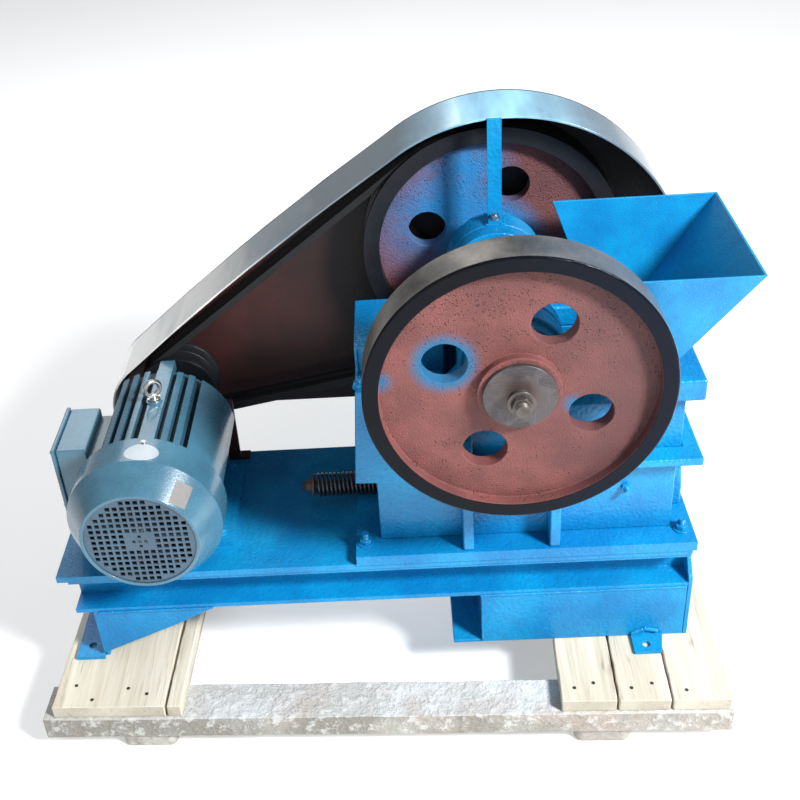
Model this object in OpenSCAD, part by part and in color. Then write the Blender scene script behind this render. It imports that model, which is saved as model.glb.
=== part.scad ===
// Laboratory jaw crusher with its motor, belt drive and belt guard on one
// base frame, standing on the wooden pallet that it is delivered on.
// Millimetres, Z up. The origin is the middle of the pallet on the floor, and
// the crusher's shaft lies along Y. Machine parts are drawn in the machine's
// own frame: X and Y from the middle of the base plate, Z from its top.

/* [Pallet] */
// How much longer the pallet is than the base plate
pallet_spare = 84; // [60:1:300]
// Depth of the pallet over its two runners
pallet_d = 472; // [440:1:620]
// Angle by which the pallet stands askew to the machine, degrees
pallet_yaw = -1.95; // [-4:0.05:4]
// Thickness of the bearers under the runners
bearer_t = 28; // [15:1:60]
// Width of a bearer
bearer_w = 78; // [50:1:110]
// Middle of the left and right bearers, from the pallet's left and right ends
bearer_inset = [145, 175]; // [60:1:300]
// Thickness of a runner
runner_t = 37; // [20:1:60]
// Width of a runner
runner_w = 62; // [40:1:90]
// Thickness of the top boards
board_t = 21; // [12:1:40]
// How far the boards stop short of the runners' outer faces
board_inset = 5; // [0:1:20]
// Left boards, from the pallet's left end: start and width
left_boards = [[16, 161], [180, 21]]; // [0:1:300]
// Right boards, from the pallet's right end: start and width
right_boards = [[4, 79], [85, 71], [158, 76]]; // [0:1:300]

/* [Base frame] */
// Length of the base plate
base_l = 880; // [800:1:1100]
// Width of the base plate
base_w = 262; // [250:1:330]
// Thickness of the base plate
plate_t = 10; // [6:1:16]
// Offset of the machine from the middle of the pallet along X
machine_x = -11; // [-30:1:30]
// Height of the channels under the plate's long edges
channel_h = 63; // [50:1:100]
// Width of a channel's flanges
channel_flange_w = 40; // [25:1:60]
// Thickness of a channel's web
channel_web_t = 5; // [3:0.5:8]
// Thickness of a channel's flanges
channel_flange_t = 7; // [4:0.5:10]
// Set-back of the channels behind the plate's long edges
channel_setback = 3; // [0:0.5:10]
// Length of plate that overhangs the channels at the left end
channel_overhang = 14; // [0:1:40]
// Height of the legs below the channels
leg_h = 95; // [60:1:160]
// Thickness of the legs and plates below the channels
leg_t = 6; // [4:0.5:10]
// Distance of the left leg's web from the plate's left end
left_leg_inset = 38; // [20:1:90]
// Width of the left leg's bottom flange
left_foot_w = 42; // [30:1:60]
// Length of the support box under the crusher
box_l = 287; // [230:1:330]
// Width of the support box's left bottom flange
box_foot_w = 43; // [30:1:60]
// Width of an anchor lug at its root
lug_w = 46; // [30:1:60]
// Width of an anchor lug at its tip
lug_tip_w = 38; // [25:1:60]
// Reach of an anchor lug
lug_reach = 35; // [25:1:50]
// Thickness of an anchor lug
lug_t = 5; // [4:0.5:10]
// Distance of the lugs from the plate's right end
lug_inset = 29; // [10:1:60]
// Radius of the anchor holes
anchor_r = 5.5; // [4:0.5:8]
// Distance of the left anchor holes from the channels' outer edges
left_anchor_inset = 20; // [12:1:60]

/* [Crusher frame] */
// Position of the crusher's shaft along the base
shaft_x = 193.5; // [150:0.5:230]
// Height of the shaft above the base plate
shaft_z = 327; // [310:1:360]
// Width of the crushing chamber
chamber_w = 148; // [120:1:170]
// Thickness of the side walls
wall_t = 26; // [15:1:32]
// Length of the foot flange
foot_l = 464; // [440:1:500]
// How far the foot flange stands out beyond the base plate's long edges
foot_lap = 3; // [0:1:20]
// Thickness of the foot flange
foot_t = 16; // [10:1:24]
// Middle of the foot flange ahead of the shaft
foot_dx = 19; // [10:1:30]
// Distance of the frame's end wall from the shaft, to its outer face
end_dx = 220.5; // [210:0.5:235]
// Thickness of the end wall
end_t = 26; // [16:1:32]
// Height of the frame's top above the base plate
frame_h = 272; // [255:1:290]
// Depth of the flange round the frame's top
top_flange_h = 32; // [20:1:45]
// Reach of the top flange past the shaft
top_flange_dx = 244.5; // [235:0.5:260]
// How far the top flange stands out beyond the side walls
top_flange_reach = 18; // [10:1:24]
// Height of the underside of the middle shelf
shelf_z = 145; // [120:1:170]
// Thickness of the middle shelf
shelf_t = 12; // [8:1:20]
// How far the middle shelf stands out beyond the side walls
shelf_reach = 30; // [20:1:31]
// Reach of the middle shelf past the shaft
shelf_dx = 247.5; // [240:0.5:260]
// Thickness of the ribs
rib_t = 15; // [8:1:20]
// How far the ribs stand out beyond the side walls
rib_reach = 31; // [20:1:34]
// Height of the rear opening's top edge
rear_open_z = 117; // [90:1:140]
// Length of the rear cover block
cover_l = 115; // [90:1:120]
// Width of the rear cover block
cover_w = 117; // [90:1:140]
// Height of the rear cover block
cover_h = 42; // [30:1:50]
// Length of the discharge opening through the foot and the base plate
discharge_l = 150; // [110:1:160]
// Radius of the foundation bolts
foot_bolt_r = 5.5; // [4:0.5:8]

/* [Shaft and wheels] */
// Radius of the shaft in its bearings
shaft_r = 25; // [20:0.5:30]
// Shoulder of the eccentric part over the shaft, on the side where it is least
eccentric_step = 2; // [1:0.5:5]
// Throw of the eccentric
throw = 4; // [1:0.5:5]
// Outer radius of the bearing housings
housing_r = 66; // [55:1:75]
// Length of a bearing housing outside its wall
housing_l = 46; // [30:1:48]
// Outer radius of the flywheel and of the belt pulley
wheel_r = 184; // [160:1:200]
// Width of the flywheel and of the belt pulley
wheel_w = 52; // [46:1:60]
// Gap between each bearing housing and its wheel
wheel_gap = 9; // [8:1:20]
// Thickness of the flywheel's rim
fly_rim_t = 20; // [19:1:40]
// Thickness of the belt pulley's rim
pulley_rim_t = 23; // [21:1:40]
// Thickness of a wheel's web
web_t = 20; // [12:1:24]
// Depth of the web behind a wheel's outer face
web_recess = 15; // [8:1:18]
// Radius of a wheel's hub
hub_r = 50; // [40:1:55]
// Radius of the holes in the webs
web_hole_r = 27; // [18:1:30]
// Radius of the circle that the web holes lie on
web_hole_ring = 95; // [90:1:115]
// Angle of the flywheel's first hole, degrees
fly_hole_angle = 65; // [0:1:90]
// Angle of the pulley's first hole, degrees
pulley_hole_angle = 73; // [0:1:90]
// Radius of the plate on the shaft's front end
end_plate_r = 44; // [35:1:48]
// Thickness of the plate on the shaft's front end
end_plate_t = 6; // [4:1:10]

/* [Jaws] */
// Thickness of the fixed jaw plate
fixed_plate_t = 22; // [15:1:26]
// Width of the jaw opening at the top
gape = 100; // [85:1:104]
// Width of the jaw opening at the bottom
discharge_gap = 16; // [8:1:25]
// Thickness of the swing jaw plate
swing_plate_t = 20; // [15:1:24]
// Height of the jaw plates' lower ends
jaw_bottom_z = 38; // [30:1:45]
// Height of the jaw plates' upper ends
jaw_top_z = 262; // [240:1:268]
// Radius of the swing jaw's barrel round the eccentric
barrel_r = 55; // [50:1:60]
// Gap between the swing jaw and each side wall
jaw_side_gap = 4; // [2:0.5:6]
// Thickness of the toggle plate
toggle_t = 16; // [10:1:20]
// Height of the toggle plate's underside
toggle_z = 60; // [58:1:66]

/* [Tension rod] */
// Height of the tension rod above the base plate
rod_z = 35; // [34:0.5:36]
// Radius of the tension rod
rod_r = 7; // [5:0.5:8]
// Outer radius of the tension spring
spring_r = 18; // [15:0.5:18]
// Radius of the spring's wire
spring_wire_r = 2.2; // [1.5:0.1:2.6]
// Number of turns in the spring
spring_turns = 17; // [10:1:18]
// Length of the spring
spring_l = 108; // [100:1:120]

/* [Hopper] */
// Height of the hopper above the frame
hopper_h = 144.6; // [110:0.1:160]
// How far the hopper's bottom edge stands out beyond the chamber on each side
hopper_bottom_lap = 22; // [10:1:26]
// How far the hopper's top edge stands out beyond the chamber on each side
hopper_top_lap = 41; // [30:1:41]
// Ends of the hopper at the bottom, past the shaft
hopper_bottom_dx = [131.5, 195.5]; // [100:0.5:200]
// Ends of the hopper at the top, past the shaft
hopper_top_dx = [78.5, 300]; // [70:0.5:305]
// Thickness of the hopper's sheet
hopper_t = 3; // [2:0.5:5]

/* [Motor] */
// Position of the motor's shaft along the base
motor_x = -294; // [-310:1:-280]
// Height of the motor's shaft above the base plate
motor_z = 105; // [105:1:125]
// Radius of the stator frame between the fins
stator_r = 84; // [70:1:86]
// Radius over the fins
fin_r = 98; // [92:1:100]
// Thickness of a fin
fin_t = 8; // [4:0.5:10]
// Front end, rear end and drive end of the stator and its end shield
motor_y = [-94, 83, 131]; // [-120:1:145]
// Radius of the motor's shaft
motor_shaft_r = 14; // [10:0.5:18]
// Radius of the fan cowl
cowl_r = 103.5; // [102:0.5:104]
// Length of the fan cowl
cowl_l = 87.5; // [70:0.5:95]
// Radius of the cowl's front edge
cowl_front_r = 78; // [76:1:90]
// Length of the cowl's tapered front
cowl_taper_l = 40; // [20:1:50]
// Thickness of the cowl's sheet
cowl_t = 2; // [1.5:0.5:3]
// Radius of the cowl's open front
grille_open_r = 73.5; // [68:0.1:75]
// Pitch of the square holes in the grille
grille_pitch = 9.4; // [8:0.1:14]
// Side of a square hole in the grille
grille_hole = 6.2; // [4:0.1:7]
// Radius of the fan
fan_r = 76; // [60:1:77]
// Number of fan blades
fan_blades = 7; // [5:1:9]
// Length, height and depth of the terminal box
terminal_size = [104, 110, 50]; // [40:1:120]
// Height of the middle of the terminal box
terminal_z = 105; // [90:1:115]
// Radius of the motor's foot bolts
motor_bolt_r = 5; // [4:0.5:6]

/* [Belt drive] */
// Outer radius of the motor's pulley
motor_pulley_r = 60; // [50:1:64]
// Width of a belt's outer face
belt_w = 17; // [13:0.5:17]
// Height of a belt
belt_h = 11; // [8:0.5:11]
// Half the angle between a belt's sides, degrees
belt_angle = 19; // [17:0.5:20]
// Distance between the two belts
belt_pitch = 19; // [18:0.5:22]

/* [Belt guard] */
// How much the guard's large end is larger in radius than the belt pulley
guard_big_gap = 68; // [61:1:78]
// How much the guard's small end is larger in radius than the motor's pulley
guard_small_gap = 34; // [25:1:36]
// Middle of the guard's large end, from the shaft
guard_big_offset = [14, -38]; // [-40:1:20]
// Middle of the guard's small end, from the motor's shaft
guard_small_offset = [0, -5]; // [-5:1:5]
// Rise of the bow in the guard's long upper side
guard_bow = 8; // [4:1:14]
// Gap between the belt pulley and the guard's back plate
guard_back_gap = 6; // [6:1:14]
// Depth of the guard
guard_d = 100; // [98:1:120]
// Thickness of the guard's sheet
guard_t = 3; // [2:0.5:4]
// Height at which the guard's two ends stop, open below
guard_open_z = 95; // [60:1:110]
// Thickness of the strut that holds the guard up
strut_t = 5; // [3:0.5:8]
// Width of the strut
strut_w = 19; // [14:1:26]
// Width of the leg that holds the guard's small end
guard_leg_w = 18; // [10:1:20]

/* [Fits] */
// Radial running clearance of the shafts in their bearings
running_gap = 0.05; // [0.02:0.01:0.1]
// Radial clearance of the wheels on their shafts
seat_gap = 0.02; // [0.01:0.01:0.05]
// Clearance between turning and fixed surfaces that nearly touch
touch_gap = 0.3; // [0.2:0.05:0.6]
// Radial clearance of a bolt in its hole
bolt_gap = 0.5; // [0.2:0.1:1]

/* [Hidden] */

round_fn = 96;
paint = "dodgerblue";
raw_wood = "burlywood";
primer = "indianred";
motor_grey = "cadetblue";
steel = "silver";
dark = "dimgray";

// Levels of the stack, from the floor up
pallet_l = base_l + pallet_spare;
bearer_x = [bearer_inset[0] - pallet_l / 2, pallet_l / 2 - bearer_inset[1]];
runner_z = bearer_t;
board_z = runner_z + runner_t;
pallet_top = board_z + board_t;
foot_drop = plate_t + channel_h + leg_h;
base_top_z = pallet_top + foot_drop;

// Base frame, in the machine's frame
base_x0 = -base_l / 2;
base_x1 = base_l / 2;
channel_y = base_w / 2 - channel_setback;
channel_top = -plate_t;
channel_bottom = channel_top - channel_h;
left_leg_x = base_x0 + left_leg_inset;
box_x0 = base_x1 - box_l;
lug_x0 = base_x1 - lug_inset - lug_w;
lug_hole = [lug_x0 + lug_tip_w / 2, channel_y + lug_reach / 2 + 3];
left_hole_x = left_leg_x - left_foot_w / 2 - 1;
left_anchor_y = channel_y - left_anchor_inset;

// Crusher frame, in the machine's frame
inner_y = chamber_w / 2;
outer_y = inner_y + wall_t;
foot_y = base_w / 2 + foot_lap;
top_flange_y = outer_y + top_flange_reach;
shelf_y = outer_y + shelf_reach;
rib_y = outer_y + rib_reach;
end_x = shaft_x + end_dx;
end_inner_x = end_x - end_t;
end_step = 4;
flange_z = frame_h - top_flange_h;
shelf_top = shelf_z + shelf_t;
mouth_x = shaft_x + housing_r;
rear_x = shaft_x - 207.5;
rear_step_x = rear_x + 29;
rear_top_x = rear_x + 10;
hump_x = shaft_x - 83.5;
ledge_z = frame_h - 4;
foot_x0 = shaft_x + foot_dx - foot_l / 2;
foot_x1 = foot_x0 + foot_l;
rear_wall_t = 26;
discharge_x1 = end_inner_x;
discharge_x0 = discharge_x1 - discharge_l;
discharge_y = inner_y - 4;
foot_bolt_x = [foot_x0 + 13.5, foot_x1 - 11 - foot_bolt_r];
foot_bolt_y = channel_y - 22;
hex_grow = 1.75;
bearing_y1 = outer_y + housing_l;
bearing_cap_l = 11;
bearing_cap_step = 8;
strut_pad_lap = 4;
pad_top = shaft_z + housing_r + 1;

// Jaws, in the machine's frame
fixed_face_x = end_inner_x - fixed_plate_t;
swing_top_x = fixed_face_x - gape;
swing_bottom_x = fixed_face_x - discharge_gap;
jaw_run = swing_bottom_x - swing_top_x;
jaw_drop = jaw_top_z - jaw_bottom_z;
jaw_slope = sqrt(jaw_run * jaw_run + jaw_drop * jaw_drop);
jaw_back = [-swing_plate_t * jaw_drop / jaw_slope, -swing_plate_t * jaw_run / jaw_slope];
swing_y = inner_y - jaw_side_gap;
hopper_bottom_y = inner_y + hopper_bottom_lap;
hopper_top_y = inner_y + hopper_top_lap;
seat_x0 = rear_x + 36;
seat_x1 = seat_x0 + 38;
swing_rear_x = shaft_x + 78.5;
jaw_foot_z = jaw_bottom_z + jaw_back[1] - 3;

// Tension rod and spring, in the machine's frame
spring_seat_x = seat_x0 + 6;
spring_seat_t = 10;
spring_x0 = spring_seat_x - spring_l;
washer_t = 3;
rod_nut_l = 9;
rod_tail = 6;

// Wheels and belt drive
eccentric_r = shaft_r + throw + eccentric_step;
wheel_y = bearing_y1 + wheel_gap;
fly_rim_r = wheel_r - fly_rim_t;
pulley_rim_r = wheel_r - pulley_rim_t;
belt_y = wheel_y + wheel_w / 2;
hub_end = wheel_y + wheel_w - 4;
web_out = wheel_y + wheel_w - web_recess;
drive_dx = shaft_x - motor_x;
drive_dz = shaft_z - motor_z;
drive_d = sqrt(drive_dx * drive_dx + drive_dz * drive_dz);
drive_angle = atan2(drive_dz, drive_dx);
belt_lean = asin((wheel_r - motor_pulley_r) / drive_d);
belt_run = sqrt(drive_d * drive_d - pow(wheel_r - motor_pulley_r, 2));
groove_h = belt_h + 2;
belt_lap = 0.4;

// Motor, in a frame at its shaft
cowl_y0 = motor_y[0] - cowl_l;
motor_end_y = wheel_y + wheel_w;
fan_y = [cowl_y0 + 12, cowl_y0 + 40];
shield_lap = 16;
shield_r = stator_r - 6;
left_fins = [-49.5, -33, -16.5];
right_fins = [31, 47];
centre_pad = [-2, 19];
pad_reach = 15;
side_pad = [60, 98, 6, 80];
motor_foot_x = [56, 100];
motor_foot_y = [motor_y[0] + 10, motor_y[1]];
motor_foot_t = 14;
motor_bolt_x = 80;
motor_bolt_y = [motor_foot_y[0] + 16, motor_foot_y[1] - 11];
fin_stop = 12;
terminal_pad_h = 40;
terminal_pad_y = terminal_size[0] / 2 - 6;
motor_foot_web = 14;
motor_foot_web_top = 65;
eyebolt_x = 6;
eyebolt_y = -4;
eyebolt_turn = 35;
eye_boss_r = 11;
eye_boss_top = fin_r + 2;
eye_ring_r = 11;
eye_wire_r = 3.5;
terminal_x1 = -stator_r - 5;
terminal_lid_t = 6;

// Belt guard, in the machine's frame
guard_big_r = wheel_r + guard_big_gap;
guard_small_r = motor_pulley_r + guard_small_gap;
guard_y = wheel_y + wheel_w + guard_back_gap + guard_t - guard_d;
guard_big = [shaft_x + guard_big_offset[0], shaft_z + guard_big_offset[1]];
guard_small = [motor_x + guard_small_offset[0], motor_z + guard_small_offset[1]];
guard_span = guard_big - guard_small;
guard_len = norm(guard_span);
guard_angle = atan2(guard_span[1], guard_span[0]);
guard_lean = asin((guard_big_r - guard_small_r) / guard_len);
guard_normal = guard_angle + guard_lean + 90;
guard_chord = sqrt(guard_len * guard_len - pow(guard_big_r - guard_small_r, 2));
guard_bow_r = (guard_chord * guard_chord / 4 + guard_bow * guard_bow) / (2 * guard_bow);
guard_notch_y = shelf_y + 4;
leg_x1 = guard_small[0] + guard_small_r - 4;

// ---- helpers -------------------------------------------------------------

module machine() { translate([machine_x, 0, base_top_z]) children(); }

module on_pallet() { rotate([0, 0, pallet_yaw]) children(); }

module both_sides() {
    children();
    mirror([0, 1, 0]) children();
}

// A block between two corners
module block(x, y, z) {
    translate([x[0], y[0], z[0]]) cube([x[1] - x[0], y[1] - y[0], z[1] - z[0]]);
}

// An outline in X and Z, from y0 to y1
module slab_y(y0, y1) {
    translate([0, y1, 0]) rotate([90, 0, 0]) linear_extrude(y1 - y0) children();
}

// An outline in Y and Z, from x0 to x1
module slab_x(x0, x1) {
    translate([x0, 0, 0]) rotate([90, 0, 90]) linear_extrude(x1 - x0) children();
}

// A round bar along Y, from y0 to y1
module bar_y(r, y0, y1) {
    translate([0, y0, 0]) rotate([-90, 0, 0]) cylinder(r = r, h = y1 - y0, $fn = round_fn);
}

// An outline in radius and Y, turned round the Y axis
module turned_y() { rotate([-90, 0, 0]) rotate_extrude($fn = round_fn) children(); }

module at_shaft() { machine() translate([shaft_x, 0, shaft_z]) children(); }

module at_motor() { machine() translate([motor_x, 0, motor_z]) children(); }

module hex(r, h) { cylinder(r = r, h = h, $fn = 6); }

// A bolt with its head on z = 0 and its nut under z = -grip
module through_bolt(r, grip) {
    translate([0, 0, -grip - r]) cylinder(r = r, h = grip + 3 * r, $fn = 32);
    hex(hex_grow * r, r);
    translate([0, 0, -grip - r]) hex(hex_grow * r, r);
}

// ---- pallet --------------------------------------------------------------

module bearer(x) {
    round_r = 12;
    reach = pallet_d / 2 - board_inset - round_r;
    on_pallet() translate([x, 0, 0]) {
        block([-bearer_w / 2, bearer_w / 2], [-reach, reach], [0, bearer_t]);
        both_sides() for (side = [-1, 1])
            translate([side * (bearer_w / 2 - round_r), -reach, 0])
                cylinder(r = round_r, h = bearer_t, $fn = 48);
        both_sides()
            block([round_r - bearer_w / 2, bearer_w / 2 - round_r],
                [-reach - round_r, -reach], [0, bearer_t]);
    }
}

module runner() {
    on_pallet() block([-pallet_l / 2, pallet_l / 2],
        [-pallet_d / 2, runner_w - pallet_d / 2], [runner_z, board_z]);
}

module boards(spans, side) {
    reach = pallet_d / 2 - board_inset;
    for (span = spans) {
        near = side * (pallet_l / 2 - span[0]);
        far = near - side * span[1];
        on_pallet()
            block([min(near, far), max(near, far)], [-reach, reach], [board_z, pallet_top]);
    }
}

module pallet_left_bearer() { color(raw_wood) bearer(bearer_x[0]); }

module pallet_right_bearer() { color(raw_wood) bearer(bearer_x[1]); }

module pallet_front_runner() { color("tan") runner(); }

module pallet_back_runner() { color("tan") rotate([0, 0, 180]) runner(); }

module pallet_left_boards() { color(raw_wood) boards(left_boards, -1); }

module pallet_right_boards() { color(raw_wood) boards(right_boards, 1); }

// ---- base frame ----------------------------------------------------------

// The discharge opening, cut down through the foot and the base plate
module discharge_cut(z0, z1) {
    block([discharge_x0, discharge_x1], [-discharge_y, discharge_y], [z0, z1]);
}

module foot_bolt_places() {
    both_sides() for (x = foot_bolt_x) translate([x, -foot_bolt_y, 0]) children();
}

module motor_bolt_places() {
    for (side = [-1, 1]) for (y = motor_bolt_y)
        translate([motor_x + side * motor_bolt_x, y, 0]) children();
}

module base_plate() {
    color(paint) machine() difference() {
        block([base_x0, base_x1], [-base_w / 2, base_w / 2], [-plate_t, 0]);
        discharge_cut(-plate_t - 1, 1);
        foot_bolt_places() translate([0, 0, -plate_t - 1])
            cylinder(r = foot_bolt_r + bolt_gap, h = plate_t + 2, $fn = 48);
        motor_bolt_places() translate([0, 0, -plate_t - 1])
            cylinder(r = motor_bolt_r + bolt_gap, h = plate_t + 2, $fn = 48);
    }
}

// The front channel: a web with its two flanges facing outwards
module base_channel() {
    web_y = -channel_y + channel_flange_w;
    x = [base_x0 + channel_overhang, base_x1];
    machine() difference() {
        union() {
            block(x, [web_y - channel_web_t, web_y], [channel_bottom, channel_top]);
            block(x, [-channel_y, web_y], [channel_top - channel_flange_t, channel_top]);
            block(x, [-channel_y, web_y], [channel_bottom, channel_bottom + channel_flange_t]);
        }
        for (bx = foot_bolt_x)
            translate([bx, -foot_bolt_y, channel_top - channel_flange_t - 1])
                cylinder(r = foot_bolt_r + bolt_gap, h = channel_flange_t + 2, $fn = 48);
    }
}

module base_front_channel() { color(paint) base_channel(); }

module base_back_channel() { color(paint) mirror([0, 1, 0]) base_channel(); }

module left_leg() {
    web_reach = channel_y - leg_t;
    foot_reach = channel_y + 2;
    color(paint) machine() difference() {
        union() {
            block([left_leg_x, left_leg_x + leg_t], [-web_reach, web_reach],
                [-foot_drop, channel_bottom]);
            block([left_leg_x - left_foot_w, left_leg_x], [-foot_reach, foot_reach],
                [-foot_drop, -foot_drop + leg_t]);
        }
        for (side = [-1, 1])
            translate([left_hole_x, side * left_anchor_y, -foot_drop - 1])
                cylinder(r = anchor_r, h = leg_t + 2, $fn = 48);
    }
}

module left_gussets() {
    drop = channel_bottom;
    color(paint) machine() both_sides() slab_y(-channel_y, -channel_y + leg_t)
        polygon([[left_leg_x, drop], [left_leg_x, drop - leg_h + 11],
            [left_leg_x + 7, drop - leg_h + 14], [left_leg_x + 113, drop - 33],
            [left_leg_x + 176, drop]]);
}

module support_box() {
    color(paint) machine() {
        both_sides() block([box_x0, base_x1], [-channel_y, -channel_y + leg_t],
            [-foot_drop, channel_bottom]);
        block([box_x0, box_x0 + leg_t], [-channel_y, channel_y], [-foot_drop, channel_bottom]);
        block([box_x0 - box_foot_w, box_x0 + leg_t], [-channel_y, channel_y],
            [-foot_drop, -foot_drop + leg_t]);
    }
}

module support_end_plate() {
    web_y = channel_y - channel_flange_w;
    color("steelblue") machine() slab_x(base_x1, base_x1 + leg_t)
        polygon([[-web_y, -plate_t], [-channel_y, channel_bottom + 12],
            [-channel_y, -foot_drop], [channel_y, -foot_drop],
            [channel_y, channel_bottom + 12], [web_y, -plate_t]]);
}

module anchor_lugs() {
    color(paint) machine() both_sides() translate([0, 0, -foot_drop]) difference() {
        linear_extrude(lug_t) polygon([[lug_x0, -channel_y], [lug_x0 + lug_w, -channel_y],
            [lug_x0 + lug_tip_w, -channel_y - lug_reach], [lug_x0, -channel_y - lug_reach]]);
        translate([lug_hole[0], -lug_hole[1], -1])
            cylinder(r = anchor_r, h = lug_t + 2, $fn = 48);
    }
}

// ---- crusher frame -------------------------------------------------------

module crusher_foot() {
    color(paint) machine() difference() {
        block([foot_x0, foot_x1], [-foot_y, foot_y], [0, foot_t]);
        discharge_cut(-1, foot_t + 1);
        foot_bolt_places() translate([0, 0, -1])
            cylinder(r = foot_bolt_r + bolt_gap, h = foot_t + 2, $fn = 48);
    }
}

module wall_outline() {
    difference() {
        union() {
            polygon([[rear_step_x, foot_t], [end_x, foot_t], [end_x, shelf_z],
                [end_x + end_step, shelf_z], [end_x + end_step, flange_z],
                [mouth_x, flange_z], [mouth_x, shaft_z],
                [shaft_x - housing_r, shaft_z], [shaft_x - housing_r, ledge_z + 20],
                [hump_x, ledge_z], [rear_top_x, ledge_z], [rear_x, rear_open_z],
                [rear_step_x, rear_open_z - 1]]);
            translate([shaft_x, shaft_z]) circle(r = housing_r, $fn = round_fn);
        }
        translate([shaft_x, shaft_z]) circle(r = shaft_r + 5, $fn = round_fn);
    }
}

module side_wall() { machine() slab_y(-outer_y, -inner_y) wall_outline(); }

module front_wall() { color(paint) side_wall(); }

module back_wall() { color(paint) mirror([0, 1, 0]) side_wall(); }

module end_wall() {
    color(paint) machine() slab_y(-inner_y, inner_y)
        polygon([[end_inner_x, foot_t], [end_x, foot_t], [end_x, shelf_z],
            [end_x + end_step, shelf_z], [end_x + end_step, flange_z],
            [end_inner_x, flange_z]]);
}

module rear_wall() {
    color(paint) machine() slab_y(-inner_y, inner_y)
        polygon([[rear_top_x, ledge_z], [hump_x, ledge_z], [hump_x, ledge_z - 20],
            [rear_top_x + rear_wall_t, ledge_z - 20],
            [rear_x + rear_wall_t, rear_open_z], [rear_x, rear_open_z]]);
}

// The two ribs on a side wall, below and above the middle shelf
module side_ribs() {
    y = [-rib_y, -outer_y];
    machine() for (x = [shaft_x - housing_r, mouth_x - rib_t]) {
        block([x, x + rib_t], y, [foot_t, shelf_z]);
        block([x, x + rib_t], y, [shelf_top, ledge_z]);
    }
}

module front_ribs() { color(paint) side_ribs(); }

module back_ribs() { color(paint) mirror([0, 1, 0]) side_ribs(); }

module end_ribs() {
    tip = shaft_x + top_flange_dx;
    color(paint) machine() both_sides() slab_y(-inner_y + 18, -inner_y + 18 + rib_t)
        polygon([[end_x, foot_t], [tip, foot_t], [tip, foot_t + 30], [tip - 8, shelf_z],
            [end_x, shelf_z]]);
}

module middle_shelf() {
    z = [shelf_z, shelf_top];
    x1 = shaft_x + shelf_dx;
    color(paint) machine() {
        both_sides() block([shaft_x - housing_r, x1], [-shelf_y, -outer_y], z);
        block([end_x + end_step, x1], [-outer_y, outer_y], z);
    }
}

module top_flange() {
    z = [flange_z, frame_h];
    x1 = shaft_x + top_flange_dx;
    color(paint) machine() {
        both_sides() block([mouth_x, x1], [-top_flange_y, -inner_y], z);
        block([end_inner_x, x1], [-inner_y, inner_y], z);
    }
}

module rear_cover() {
    x0 = rear_top_x + 1;
    groove = 4;
    color(paint) machine() difference() {
        block([x0, x0 + cover_l], [-cover_w / 2, cover_w / 2], [ledge_z, ledge_z + cover_h]);
        both_sides() block([x0 + groove, x0 + 2 * groove],
            [-cover_w / 2 - 1, -cover_w / 2 + 2], [ledge_z - 1, ledge_z + cover_h - groove]);
    }
}

module foot_bolts() {
    grip = foot_t + plate_t + channel_flange_t;
    color(steel) machine() foot_bolt_places() translate([0, 0, foot_t])
        through_bolt(foot_bolt_r, grip);
}

// ---- shaft and wheels ----------------------------------------------------

module bearing_housing() {
    step_y = -bearing_y1 + bearing_cap_l;
    difference() {
        union() {
            bar_y(housing_r, step_y, -outer_y);
            bar_y(housing_r - bearing_cap_step, -bearing_y1, step_y);
        }
        bar_y(shaft_r + running_gap, -bearing_y1 - 1, -outer_y + 1);
    }
}

module front_bearing() { color(paint) at_shaft() bearing_housing(); }

module back_bearing() {
    color(paint) at_shaft() difference() {
        union() {
            mirror([0, 1, 0]) bearing_housing();
            block([-strut_w / 2 - strut_pad_lap, strut_w / 2 + strut_pad_lap],
                [outer_y, bearing_y1 - bearing_cap_l], [housing_r - 14, pad_top - shaft_z]);
        }
        bar_y(shaft_r + running_gap, outer_y - 1, bearing_y1 + 1);
    }
}

module eccentric_shaft() {
    reach = inner_y - 2;
    color(steel) at_shaft() {
        bar_y(shaft_r, -hub_end, hub_end);
        translate([throw, 0, 0]) bar_y(eccentric_r, -reach, reach);
    }
}

module web_holes(angle, y0, y1) {
    for (k = [0:3]) rotate([0, -angle - 90 * k, 0]) translate([web_hole_ring, 0, 0])
        bar_y(web_hole_r, y0, y1);
}

module flywheel() {
    bevel = 2;
    color(primer) at_shaft() mirror([0, 1, 0]) difference() {
        turned_y() polygon([[shaft_r + seat_gap, wheel_y], [hub_r, wheel_y],
            [hub_r, web_out - web_t], [fly_rim_r, web_out - web_t],
            [fly_rim_r, wheel_y], [wheel_r - bevel, wheel_y], [wheel_r, wheel_y + bevel],
            [wheel_r, wheel_y + wheel_w - bevel], [wheel_r - bevel, wheel_y + wheel_w],
            [fly_rim_r, wheel_y + wheel_w], [fly_rim_r, web_out], [hub_r, web_out],
            [hub_r, hub_end], [shaft_r + seat_gap, hub_end]]);
        web_holes(fly_hole_angle, wheel_y, hub_end);
    }
}

module flywheel_end_plate() {
    color(steel) at_shaft() bar_y(end_plate_r, -hub_end - end_plate_t, -hub_end);
}

module shaft_end_bolt() {
    washer = [20, 3];
    head = [16, 13];
    thread = [8, 29];
    color(dark) at_shaft() translate([0, -hub_end - end_plate_t, 0]) rotate([90, 0, 0]) {
        cylinder(r = washer[0], h = washer[1], $fn = 48);
        translate([0, 0, washer[1]]) hex(head[0], head[1]);
        cylinder(r = thread[0], h = thread[1], $fn = 32);
    }
}

// The rim outline of a pulley: radius and Y, with a V groove for each belt
function groove_points(r, y) = let (
        half = belt_w / 2 + touch_gap,
        low = half - groove_h * tan(belt_angle))
    [[r, y - half], [r - groove_h, y - low], [r - groove_h, y + low], [r, y + half]];

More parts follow.
